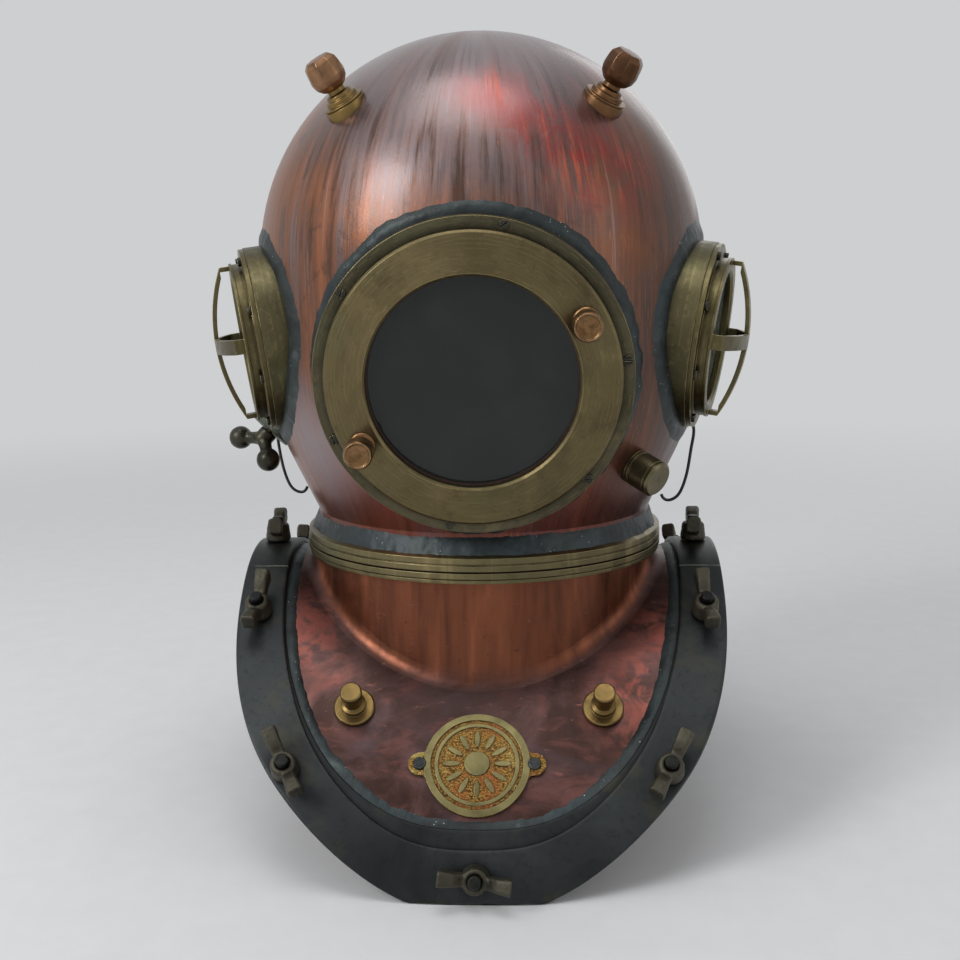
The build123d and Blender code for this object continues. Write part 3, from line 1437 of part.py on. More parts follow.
# Bare badge place with a plain rayed pattern
badge_top = arch_block(sheet_inset - badge_thickness)
badge_relief_top = arch_block(sheet_inset - badge_thickness - badge_relief)
badge_screw_places = []
for side in (-1, 1):
    badge_screw_places.append(Plane(
        origin=badge_place.from_local_coords((side * badge_screw_spacing, 0, badge_thickness)),
        x_dir=badge_place.x_dir, z_dir=badge_place.z_dir))
badge_screw_blank = (
    (0, -badge_thickness + joint_clearance),
    (badge_shank_radius, -badge_thickness + joint_clearance),
    (badge_shank_radius, joint_clearance),
    (badge_screw_radius, joint_clearance),
    (badge_screw_radius, badge_screw_height - badge_screw_edge),
    (badge_screw_radius - badge_screw_edge, badge_screw_height),
    (0, badge_screw_height))
with BuildPart() as badge_sink:
    with BuildSketch(badge_place):
        Circle(reach_out)
        Circle(badge_radius, mode=Mode.SUBTRACT)
        Circle(badge_radius - badge_rim_width)
        Circle(badge_band_outer, mode=Mode.SUBTRACT)
        Circle(badge_band_inner)
        with PolarLocations(badge_ray_orbit, badge_ray_count):
            Ellipse(badge_ray_half_length, badge_ray_half_width, mode=Mode.SUBTRACT)
        Circle(badge_boss_radius, mode=Mode.SUBTRACT)
        with Locations((badge_screw_spacing, 0), (-badge_screw_spacing, 0)):
            Circle(badge_screw_radius + joint_clearance)
    extrude(amount=reach_out * half_share, both=True)
    add(badge_top, mode=Mode.SUBTRACT)
with BuildPart() as badge_plate:
    with BuildSketch(badge_place) as badge_outline:
        Circle(badge_radius)
        with Locations((badge_screw_spacing, 0), (-badge_screw_spacing, 0)):
            Circle(badge_ear_radius)
        ear_corners = badge_outline.vertices().filter_by(lambda corner: abs(corner.Y) > small_edge)
        fillet(ear_corners, badge_ear_blend)
    extrude(amount=reach_out * half_share, both=True)
    add(badge_relief_top, mode=Mode.INTERSECT)
    add(badge_sink.part, mode=Mode.SUBTRACT)
    add(sheet_top, mode=Mode.SUBTRACT)
    with BuildSketch(badge_place):
        with Locations((badge_screw_spacing, 0), (-badge_screw_spacing, 0)):
            Circle(badge_shank_radius + joint_clearance)
    extrude(amount=reach_out * half_share, both=True, mode=Mode.SUBTRACT)
finish(badge_plate, "badge_plate")

badge_screw_parts = []
for screw_index, screw_place in enumerate(badge_screw_places):
    with BuildPart() as badge_screw:
        add(turned(screw_place, badge_screw_blank))
        with BuildSketch(screw_place.offset(badge_screw_height)):
            Rectangle(badge_screw_radius + badge_screw_radius + badge_screw_radius, screw_slot_width,
                      rotation=badge_slot_turns[screw_index])
        extrude(amount=-screw_slot_depth * half_share, mode=Mode.SUBTRACT)
    badge_screw_parts.append(badge_screw.part)
badge_screws = Compound(children=badge_screw_parts, label="badge_screws")
export_step(badge_screws, "parts/badge_screws.step")
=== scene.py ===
"""A copper and brass standard diving helmet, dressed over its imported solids.

The solids keep their places. Fittings that need softer castings, hand-wiped solder or
finer relief than the solids hold are made here and stand for them.
"""

import math

import bmesh
import bpy
from bpy.props import FloatProperty, FloatVectorProperty, IntProperty, PointerProperty
from mathutils import Matrix, Vector, noise
from mathutils.bvhtree import BVHTree


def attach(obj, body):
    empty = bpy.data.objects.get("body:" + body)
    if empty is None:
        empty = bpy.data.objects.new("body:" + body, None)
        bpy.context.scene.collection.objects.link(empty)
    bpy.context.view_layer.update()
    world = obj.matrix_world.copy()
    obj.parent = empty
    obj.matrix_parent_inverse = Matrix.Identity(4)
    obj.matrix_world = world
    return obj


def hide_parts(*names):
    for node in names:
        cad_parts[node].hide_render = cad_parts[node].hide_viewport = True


bl_info = {
    "name": "Diving helmet dressing",
    "version": (1, 0, 0),
    "blender": (4, 5, 0),
    "location": "3D View > Sidebar > Helmet",
    "description": "Dresses a packed diving helmet with copper, brass, solder and glass",
    "category": "Object",
}

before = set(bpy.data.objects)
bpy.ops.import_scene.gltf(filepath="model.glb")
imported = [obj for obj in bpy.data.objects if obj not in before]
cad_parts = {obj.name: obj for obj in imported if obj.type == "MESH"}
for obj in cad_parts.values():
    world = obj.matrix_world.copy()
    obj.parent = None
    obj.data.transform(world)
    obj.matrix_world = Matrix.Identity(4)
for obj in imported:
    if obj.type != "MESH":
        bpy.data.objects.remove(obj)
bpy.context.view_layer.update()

MM = 0.001


def paint(red, green, blue):
    """Colour given as it looks on a screen, from 0 to 255, in the values that shaders use."""
    values = []
    for part in (red, green, blue):
        share = part / 255
        values.append(share / 12.92 if share <= 0.04045 else ((share + 0.055) / 1.055) ** 2.4)
    return tuple(values)


def shade_of(colour, strength=1.0):
    """The same colour, darker or lighter."""
    return tuple(min(1.0, part * strength) for part in colour)


# Places of the fittings, in millimetres, as the solids have them

FRONT = ((0.0, -147.2, 297.7), (0.0, -0.9902681, -0.1391731), (1.0, 0.0, 0.0))
SIDES = {
    "left": ((-158.412, -42.446, 315.5), (-0.9565255, -0.2563002, -0.1391731),
             (0.258819, -0.9659258, 0.0)),
    "right": ((158.412, -42.446, 315.5), (0.9565255, -0.2563002, -0.1391731),
              (0.258819, 0.9659258, 0.0)),
}
COCK = ((98.5, -90.259, 238.4), (0.6835916, -0.6263963, -0.3746066), (0.6755902, 0.7372773, 0.0))
EXHAUST = ((-153.6, 8.4, 249.4), (-0.6459742, -0.2876062, -0.7071068), (0.4067366, -0.9135455, 0.0))
HANDLE_LINE = (0.7535, -0.5797, -0.3101)
NUTS = (
    ((0.0, -196.6, 13.619), (0.0, -0.94498, 0.32712), -7.0),
    ((114.5, -165.0, 66.123), (0.0, -0.73147, 0.68187), 61.7),
    ((146.5, -79.0, 139.502), (0.0, -0.55835, 0.82961), 94.0),
    ((148.6, 0.0, 171.0), (0.0, 0.0, 1.0), 84.0),
    ((146.5, 79.0, 139.502), (0.0, 0.55835, 0.82961), 70.0),
    ((114.5, 165.0, 66.123), (0.0, 0.73147, 0.68187), 118.0),
    ((0.0, 196.6, 13.619), (0.0, 0.94498, 0.32712), 12.0),
    ((-114.5, 165.0, 66.123), (0.0, 0.73147, 0.68187), 63.0),
    ((-146.5, 79.0, 139.502), (0.0, 0.55835, 0.82961), 97.0),
    ((-148.6, 0.0, 171.0), (0.0, 0.0, 1.0), 96.0),
    ((-146.5, -79.0, 139.502), (0.0, -0.55835, 0.82961), 85.4),
    ((-114.5, -165.0, 66.123), (0.0, -0.73147, 0.68187), 118.3),
)

# The shoulder arch: how far out each round goes, its centre in Y and Z, and its radius
ARCH = ((50.0, (0.0, 71.0), 100.0), (164.98, (-198.5, -272.812), 497.0), (999.0, (56.742, -34.795), 148.0))
# Plans of the flange: half width, half depth and the two powers of the rounded oblong
FLANGE_OUTER = (162.3, 202.0, 2.58, 3.78)
BRAIL_INNER = (134.5, 190.6, 2.77, 2.77)
RIM_INNER = (134.5, 185.2, 2.77, 2.77)
# Heights of the flange's layers, measured into the arch: top of the brails, the joint, the foot
BRAIL_TOP, BRAIL_FOOT, RIM_FOOT = 0.0, 3.1, 6.0
# Half lengths at which the side brails end and the front and rear ones begin
SIDE_BRAIL_END, END_BRAIL_START = 41.16, 41.66
# Solder bands in millimetres: where each starts and how broad it is
FRONT_BAND, SIDE_BAND, RIM_BAND = (94.0, 7.6), (61.0, 13.0), 8.6
NECK_BAND_LOW, NECK_BAND_HIGH, NECK_RADIUS = 187.1, 198.3, 116.2
NECK_BAND_RISE = 0.0040
# How far the copper's hidden edge stays inside the flange, and the depths between which it lies
SHEET_EDGE, SHEET_TOP, SHEET_FOOT = 2.5, 5.5, 8.7
# Slopes in degrees at which the arch's second and third rounds begin
ARCH_TURNS = (30.0, 47.0)
# Front knobs: how far out and at which turns they stand, and the height of the ring's face
KNOB_ORBIT, KNOB_TURNS, KNOB_FACE = 74.0, (29.0, 209.0), 9.84
# Width of a nut's wing at its tip for which its sections are drawn, in metres
WING_WIDTH = 0.0098
# Half widths of the guard straps, in the solids and here, and the heights of their bow
STRAP_SOLID, STRAP_HALF, STRAP_FOOT, STRAP_TOP = 3.5, 4.7, 6.4, 18.6
# The two rounds of the breast under the badge: centre in Y and Z, and the badge ground's radius
BADGE_ROUNDS = (((198.5, -272.812), 493.2), ((-56.742, -34.795), 144.2))
# The dome's centre height and outer radius, and where its studs stand on it and lean
DOME_HEIGHT, DOME_RADIUS = 367.0, 150.0
STUD_OUT, STUD_AHEAD, STUD_LEAN = 78.3, 87.0, (0.47, -0.36, 0.805)
# The camera that saw the photo, in metres
CAMERA_SPOT = (0.03155, -0.84184, 0.35529)
CAMERA_RIGHT, CAMERA_UP = (0.99919, 0.03861, -0.01146), (0.00493, 0.16518, 0.98625)
# Lamps: place in metres, the setting that holds the power, width and height. They aim at LAMP_AIM
LAMPS = (
    ("key_lamp", (-1.45, -1.25, 1.35), "key_power", 0.7, 1.1),
    ("top_lamp", (-0.15, -0.35, 2.1), "top_power", 1.2, 0.9),
    ("fill_lamp", (1.7, -0.9, 0.8), "fill_power", 0.9, 1.2),
    ("rear_lamp", (0.9, 1.9, 1.2), "fill_power", 0.9, 1.2),
)
LAMP_AIM = (0.0, 0.0, 0.27)
# The floor's rings, their divisions, and how far under the helmet it lies
FLOOR_RINGS, FLOOR_STEPS, FLOOR_DROP = 25, 64, 0.0004


def seat(point, axis, across=(1.0, 0.0, 0.0)):
    """Matrix in metres whose Z is a fitting's axis and whose origin is its foot."""
    up = Vector(axis).normalized()
    along = Vector(across)
    along = (along - up * along.dot(up)).normalized()
    grid = Matrix((along, up.cross(along), up)).transposed().to_4x4()
    grid.translation = Vector(point) * MM
    return grid


# Settings that a user would change

def tint(label, words, *shade):
    """A colour setting whose default is given as it looks on a screen."""
    return FloatVectorProperty(name=label, description=words, subtype="COLOR", size=3, min=0, max=1,
                               default=paint(*shade))


def amount(label, words, default, low, high, **kind):
    """A number setting and the range that it may have."""
    return FloatProperty(name=label, description=words, default=default, min=low, max=high, **kind)


class HELMET_PG_colours(bpy.types.PropertyGroup):
    """Colours of the helmet's metals, glass and solder"""
    bonnet: tint("Bonnet copper", "Brown of the old bonnet copper", 98, 72, 62)
    bonnet_warm: tint("Warm streaks", "Orange runs in the bonnet copper", 150, 93, 61)
    # this colour is the copper's violet patina and also the painted sheen on the crown and the lower left
    bonnet_violet_and_sheen: tint("Violet tone and sheen", "Pale violet bloom on the dome", 152, 141, 145)
    bonnet_red: tint("Red patches", "Red heat colour in the copper", 142, 50, 45)
    corselet: tint("Corselet copper", "Dark brown of the corselet copper", 66, 43, 37)
    corselet_rose: tint("Rosy clouds", "Rose patches on the corselet", 122, 76, 69)
    neck_copper: tint("Neck copper", "Orange copper of the corselet's neck", 126, 72, 48)
    brass: tint("Brass", "Olive brass of the fittings", 99, 88, 61)
    brass_bright: tint("Bright brass", "Brass where it is rubbed", 170, 153, 110)
    gunmetal: tint("Gunmetal", "Dark metal of the rim and the brails", 46, 49, 50)
    bronze: tint("Dark bronze", "Wing nuts and lever", 72, 69, 58)
    solder: tint("Solder", "Tarnished blue-grey solder", 50, 57, 58)
    gold: tint("Badge gold", "Stippled ground of the badge place", 160, 124, 62)
    glass: tint("Glass", "Tint of the thick glasses", 196, 214, 206)


class HELMET_PG_sizes(bpy.types.PropertyGroup):
    """Sizes of the pieces that are made here"""
    solder_rise: amount("Solder rise", "Height of the solder bands at their thickest",
                        0.0018, 0.0005, 0.003, unit="LENGTH")
    solder_wander: amount("Solder wander", "How far the wiped edge strays",
                          0.0019, 0.0, 0.004, unit="LENGTH")
    casting_grain: amount("Casting grain", "Finest detail of the cast pieces",
                          0.0005, 0.0003, 0.002, unit="LENGTH")
    wing_width: amount("Wing width", "Width of a nut's wing at its tip",
                       WING_WIDTH, 0.006, 0.012, unit="LENGTH")
    band_steps: IntProperty(name="Band steps", description="Divisions round a solder band",
                            min=90, max=1440, default=540)


class HELMET_PG_studio(bpy.types.PropertyGroup):
    """Lamps, floor and camera"""
    key_power: amount("Key lamp", "Power of the large lamp at the left", 22.0, 0, 500, unit="POWER")
    top_power: amount("Top lamp", "Power of the soft lamp overhead", 9.0, 0, 500, unit="POWER")
    fill_power: amount("Fill lamp", "Power of the weak lamp at the right", 3.0, 0, 500, unit="POWER")
    sky_level: amount("World light", "Level of the even light from all sides", 0.42, 0, 2)
    backdrop: tint("Backdrop", "Pale grey behind the helmet", 206, 207, 208)
    lens: amount("Lens", "Focal length in millimetres on a 36 mm sensor", 45.0, 20, 200)


# Meshes

def piece_of(name, points, faces, material, sharp=40.0):
    """A mesh object, smooth except at its sharp edges."""
    mesh = bpy.data.meshes.new(name)
    mesh.from_pydata([tuple(point) for point in points], [], faces)
    mesh.update()
    mesh.shade_smooth()
    if sharp:
        mesh.set_sharp_from_angle(angle=math.radians(sharp))
    item = bpy.data.objects.new(name, mesh)
    bpy.context.scene.collection.objects.link(item)
    if material:
        mesh.materials.append(material)
    return item


def eased(outline, radius, steps=4):
    """The same outline with its corners rounded, so that edges catch the light."""
    points = [Vector(outline[0])]
    for before, corner, after in zip(outline, outline[1:], outline[2:]):
        before, corner, after = Vector(before), Vector(corner), Vector(after)
        reach = min(radius, (before - corner).length * 0.45, (after - corner).length * 0.45)
        first = corner + (before - corner).normalized() * reach
        last = corner + (after - corner).normalized() * reach
        for step in range(steps + 1):
            share = step / steps
            points.append(first * (1 - share) ** 2 + corner * (2 * share * (1 - share)) + last * share ** 2)
    points.append(Vector(outline[-1]))
    return points


def ring_faces(rings, width):
    """Faces between closed rings of as many points, which follow each other in one list."""
    return [((ring - 1) * width + step, (ring - 1) * width + (step + 1) % width,
             ring * width + (step + 1) % width, ring * width + step)
            for ring in range(1, rings) for step in range(width)]


def capped(faces, rings, width):
    """The same faces with the first and the last ring closed."""
    return faces + [tuple(range(width))[::-1], tuple(range((rings - 1) * width, rings * width))]


def merged(parts):
    """Points and faces of several bodies as one body."""
    points, faces = [], []
    for part_points, part_faces in parts:
        start = len(points)
        points += part_points
        faces += [tuple(corner + start for corner in face) for face in part_faces]
    return points, faces


def turned_mesh(outline, steps, shape=None):
    """Points and faces turned from an outline of radius and height in millimetres."""
    points = []
    for radius, height in outline:
        for step in range(steps):
            turn = 2 * math.pi * step / steps
            reach = max(radius, 0.01)
            if shape:
                reach *= shape(turn, height)
            points.append(Vector((reach * math.cos(turn), reach * math.sin(turn), height)) * MM)
    return points, capped(ring_faces(len(outline), steps), len(outline), steps)


def moved(body, place):
    """A body's points brought to their place."""
    return [place @ point for point in body[0]], body[1]


def turned_piece(name, place, outline, material, steps=72, shape=None, sharp=40.0):
    """A turned fitting, set on its place."""
    return piece_of(name, *moved(turned_mesh(outline, steps, shape), place), material, sharp)


def blend_ring(low, high, value):
    """Smooth step from 0 to 1 as a value goes from low to high."""
    share = min(1.0, max(0.0, (value - low) / (high - low)))
    return share * share * (3 - 2 * share)


def eight_flats(angle, height):
    """Share of a stud head's radius that its eight flats leave; they fade in up the head."""
    sector = math.pi / 4
    inner = math.cos(sector / 2) / math.cos((angle % sector) - sector / 2)
    return 1 + (inner - 1) * 0.95 * blend_ring(18.0, 27.0, height)


def strap(stations, corners=24, power=5.0):
    """A bar with rounded-oblong sections: (centre, across, up, half width, half depth) each."""
    points = []
    for centre, across, up, half_width, half_depth in stations:
        for step in range(corners):
            turn = 2 * math.pi * step / corners
            along, rise = math.cos(turn), math.sin(turn)
            x = half_width * math.copysign(abs(along) ** (2 / power), along)
            y = half_depth * math.copysign(abs(rise) ** (2 / power), rise)
            points.append(Vector(centre) + Vector(across) * x + Vector(up) * y)
    return points, capped(ring_faces(len(stations), corners), len(stations), corners)


def cast(name, parts, grain, passes, roughen=0.0):
    """Overlapping bodies melted into one casting with soft inner corners."""
    points, faces = merged(parts)
    mesh = bpy.data.meshes.new(name + "_rough")
    mesh.from_pydata([tuple(point) for point in points], [], faces)
    item = bpy.data.objects.new(name + "_rough", mesh)
    foundry = bpy.data.scenes.new("foundry")
    foundry.collection.objects.link(item)
    melt = item.modifiers.new("melt", "REMESH")
    melt.mode = "VOXEL"
    melt.voxel_size = grain
    soften = item.modifiers.new("soften", "SMOOTH")
    soften.factor = 0.5
    soften.iterations = passes
    foundry.view_layers[0].update()
    made = bpy.data.meshes.new_from_object(item.evaluated_get(foundry.view_layers[0].depsgraph))
    made.name = name
    bpy.data.objects.remove(item)
    bpy.data.meshes.remove(mesh)
    bpy.data.scenes.remove(foundry)
    if roughen:
        for vertex in made.vertices:
            push = noise.noise(vertex.co * 420) + 0.5 * noise.noise(vertex.co * 900)
            vertex.co += vertex.normal * (push * roughen)
    made.shade_smooth()
    return made


def ball(centre, radius, steps=28):
    """A closed ball, in metres."""
    rows = steps // 2
    points = []
    for row in range(rows + 1):
        fall = math.pi * (row + 0.02) / (rows + 0.04)
        for step in range(steps):
            turn = 2 * math.pi * step / steps
            points.append(Vector(centre) + Vector((math.sin(fall) * math.cos(turn),
                                                   math.sin(fall) * math.sin(turn),
                                                   math.cos(fall))) * radius)
    faces = capped(ring_faces(rows + 1, steps), rows + 1, steps)
    return points, [face[::-1] for face in faces]


def skin_of(name):
    """Search tree over the skin of a node."""
    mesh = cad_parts[name].data
    return BVHTree.FromPolygons([vertex.co.copy() for vertex in mesh.vertices],
                                [tuple(face.vertices) for face in mesh.polygons])


def on_arch(x, y, inset):
    """Point on the shoulder arch above a plan position, or so much deeper, square to its sheet."""
    reach = abs(y)
    centre, radius = next((centre, radius) for limit, centre, radius in ARCH if reach <= limit)
    slope = math.asin(min(1.0, (reach - centre[0]) / radius))
    out = centre[0] + (radius - inset) * math.sin(slope)
    height = centre[1] + (radius - inset) * math.cos(slope)
    return Vector((x, out if y >= 0 else -out, max(height, 0.0))) * MM


def plan_side(y, plan):
    """Half width of a rounded-oblong plan at a distance from its middle line."""
    wide, deep, along, across = plan
    return wide * max(0.0, 1 - (abs(y) / deep) ** across) ** (1 / along)


def plan_turn(turn, plan):
    """Point of a rounded-oblong plan at a turn from 0 to 180 degrees."""
    wide, deep, along, across = plan
    x = wide * math.copysign(abs(math.cos(turn)) ** (2 / along), math.cos(turn))
    return Vector((x, deep * abs(math.sin(turn)) ** (2 / across)))


def half_flange(inner, outer, first, side_steps=26, end_steps=150):
    """Pairs of inner and outer plan points round one end, from a joint to the joint across."""
    bend = 100.0
    rows = []
    for step in range(side_steps):
        y = first + (bend - first) * step / side_steps
        rows.append((Vector((plan_side(y, inner), y)), Vector((plan_side(y, outer), y))))
    turns = [math.asin((bend / plan[1]) ** (plan[3] / 2)) for plan in (inner, outer)]
    middle = []
    for step in range(end_steps + 1):
        share = step / end_steps
        middle.append(tuple(plan_turn(turn + (math.pi - 2 * turn) * share, plan)
                            for turn, plan in zip(turns, (inner, outer))))
    back = [(Vector((-a.x, a.y)), Vector((-b.x, b.y))) for a, b in reversed(rows)]
    return rows + middle + back


def flange_piece(name, node, pairs, top, foot, material, seed, closed=False):
    """A strip of the flange: flat on the sheet, square at its walls, with eased edges."""
    section = [(0, 0, foot), (0, 0, top + 1.0), (0, 0.1, top + 0.5), (0, 0.35, top + 0.18), (0, 0.9, top)]
    section += [(share / 12, 0, top) for share in range(1, 12)]
    section += [(1, -0.9, top), (1, -0.35, top + 0.18), (1, -0.1, top + 0.5), (1, 0, top + 1.0),
                (1, 0, foot)]
    points = []
    for inner, outer in pairs:
        aim = (outer - inner).normalized()
        for share, shift, inset in section:
            spot = inner.lerp(outer, share) + aim * shift
            uneven = 0.0
            if inset == top:
                uneven = 0.16 * noise.noise(Vector((spot.x * 0.05, spot.y * 0.05, seed)))
            points.append(on_arch(spot.x, spot.y, inset + uneven + 0.1))
    width, faces = len(section), []
    for index in range(len(pairs) if closed else len(pairs) - 1):
        after = (index + 1) % len(pairs)
        for step in range(width):
            beside = (step + 1) % width
            faces.append((index * width + step, after * width + step,
                          after * width + beside, index * width + beside))
    if not closed:
        faces.append(tuple(range(width)))
        faces.append(tuple(range((len(pairs) - 1) * width, len(pairs) * width))[::-1])
    item = piece_of(name, points, faces, material, 0)
    work = bmesh.new()
    work.from_mesh(item.data)
    bmesh.ops.recalc_face_normals(work, faces=work.faces)
    work.to_mesh(item.data)
    work.free()
    item.data.shade_smooth()
    item.data.set_sharp_from_angle(angle=math.radians(50))
    set_piece(item, "corselet", "gunmetal", node)


def trimmed_sheet():
    """The corselet's copper with its hidden edge kept inside the flange."""
    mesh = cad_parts["corselet_shell"].data.copy()
    plan = (FLANGE_OUTER[0] - SHEET_EDGE, FLANGE_OUTER[1] - SHEET_EDGE, *FLANGE_OUTER[2:])
    for vertex in mesh.vertices:
        x, y, z = vertex.co / MM
        for start, (_, centre, radius) in ((ARCH_TURNS[1], ARCH[2]), (ARCH_TURNS[0], ARCH[1])):
            slope = math.atan2(abs(y) - centre[0], z - centre[1])
            inset = radius - math.hypot(abs(y) - centre[0], z - centre[1])
            if slope >= math.radians(start - 0.5):
                break
        else:
            continue
        if not SHEET_TOP < inset < SHEET_FOOT or abs(x) >= plan[0]:
            continue
        limit = plan[1] * (1 - (abs(x) / plan[0]) ** plan[2]) ** (1 / plan[3])
        if centre[0] + radius * math.sin(slope) > limit:
            vertex.co = on_arch(x, math.copysign(limit, y), inset)
    return mesh


def broad_guard(name, place):
    """A side cover whose crossed straps are as broad as in the photo, and a hair lower."""
    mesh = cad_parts[name].data.copy()
    back = place.inverted()
    straps = set()
    for face in mesh.polygons:
        if max((back @ mesh.vertices[corner].co).z for corner in face.vertices) > 0.5 * MM:
            straps.update(face.vertices)
    for corner in straps:
        spot = (back @ mesh.vertices[corner].co) / MM
        for way in (0, 1):
            if abs(abs(spot[way]) - STRAP_SOLID) < 0.1:
                spot[way] = math.copysign(STRAP_HALF, spot[way])
        spot.z -= 0.5 * max(0.0, (spot.z - STRAP_FOOT) / (STRAP_TOP - STRAP_FOOT))
        mesh.vertices[corner].co = place @ (spot * MM)
    return mesh


def solder_lumps(spot, rise):
    """How much thicker or thinner the solder is at a spot."""
    return rise * (0.85 + 0.35 * noise.noise(spot * 55) + 0.16 * noise.noise(spot * 240))


def wander(around, *waves):
    """How far a wiped edge strays at a turn: noise at several scales, each with its share."""
    return sum(share * noise.noise(around * scale) for scale, share in waves)


def band_mesh(rows):
    """Points and faces of a closed band from rows of points across it."""
    width, faces = len(rows[0]), []
    for index in range(len(rows)):
        after = (index + 1) % len(rows)
        faces += [(index * width + step, index * width + step + 1,
                   after * width + step + 1, after * width + step) for step in range(width - 1)]
    return [point for row in rows for point in row], faces


def port_band(skin, place, band, sizes, seed, columns=9):
    """A hand-wiped band of solder on the copper round a port frame."""
    rows, last_row = [], None
    axis = place.to_3x3() @ Vector((0, 0, 1))
    inner, width = band
    tuck, sink = 0.0003, 0.00035
    for step in range(sizes.band_steps):
        turn = 2 * math.pi * step / sizes.band_steps
        stray = wander(Vector((math.cos(turn), math.sin(turn), seed)),
                       (3.1, 1.0), (11, 0.7), (34, 0.35))
        reach = width * MM + sizes.solder_wander * stray
        row = []
        for column in range(columns):
            share = column / (columns - 1)
            radius = inner * MM - tuck + (reach + tuck) * share
            start = place @ Vector((radius * math.cos(turn), radius * math.sin(turn), 0.05))
            hit, normal, _, _ = skin.ray_cast(start, -axis)
            if hit is None:
                break
            if normal.dot(axis) < 0:
                normal = -normal
            crown = (1 - share ** 3) * (0.62 + 0.38 * math.sin(math.pi * min(1, share * 1.25)))
            rise = solder_lumps(hit, sizes.solder_rise) * crown - sink * share ** 6
            row.append(hit + normal * rise)
        if len(row) < columns:
            row = last_row or row
        if len(row) == columns:
            last_row = row
            rows.append(row)
    return band_mesh(rows)


def neck_band(skin, sizes, columns=10):
    """A hand-wiped band of solder on the copper above the bonnet's neck ring."""
    rows, sink = [], 0.0003
    for step in range(sizes.band_steps):
        turn = 2 * math.pi * step / sizes.band_steps
        out = Vector((math.cos(turn), math.sin(turn), 0))
        stray = wander(Vector((math.cos(turn), math.sin(turn), 9.0)),
                       (3.3, 1.0), (12, 0.6), (40, 0.4))
        low, high = NECK_BAND_LOW * MM, NECK_BAND_HIGH * MM + sizes.solder_wander * 0.9 * stray
        row = []
        for column in range(columns):
            share = column / (columns - 1)
            start = Vector((0, 0, low + (high - low) * share)) + out * 0.2
            hit = skin.ray_cast(start, -out)[0]
            if hit is None:
                hit = start + out * (NECK_RADIUS * MM - 0.2)
            rise = solder_lumps(hit, NECK_BAND_RISE) * (1 - share) ** 1.3 + 0.0011 * (1 - share ** 4)
            row.append(hit + out * (rise - sink * share ** 6))
        rows.append(row)
    return band_mesh(rows)


def rim_band(skin, sizes, columns=11):
    """A hand-wiped band of solder on the corselet inside its rim."""
    rows, steps = [], sizes.band_steps * 2
    wide, deep, power, _ = RIM_INNER
    tuck, sink = 0.0004, 0.0003
    for step in range(steps):
        turn = 2 * math.pi * step / steps
        along, across = math.cos(turn), math.sin(turn)
        stray = wander(Vector((along, across, 20.0)), (4.0, 1.0), (17, 0.6), (55, 0.35))
        reach = RIM_BAND * MM + sizes.solder_wander * 0.8 * stray
        row = []
        for column in range(columns):
            share = column / (columns - 1)
            inset = reach * share - tuck
            x = (wide * MM - inset) * math.copysign(abs(along) ** (2 / power), along)
            y = (deep * MM - inset) * math.copysign(abs(across) ** (2 / power), across)
            hit, normal, _, _ = skin.ray_cast(Vector((x, y, 0.3)), Vector((0, 0, -1)))
            if hit is None:
                break
            if normal.z < 0:
                normal = -normal
            crown = (1 - share ** 3) * (0.75 + 0.25 * math.sin(math.pi * share))
            rise = solder_lumps(hit, sizes.solder_rise) * crown - sink * share ** 6
            row.append(hit + normal * rise)
        if len(row) == columns:
            rows.append(row)
    return band_mesh(rows)


# Finishes

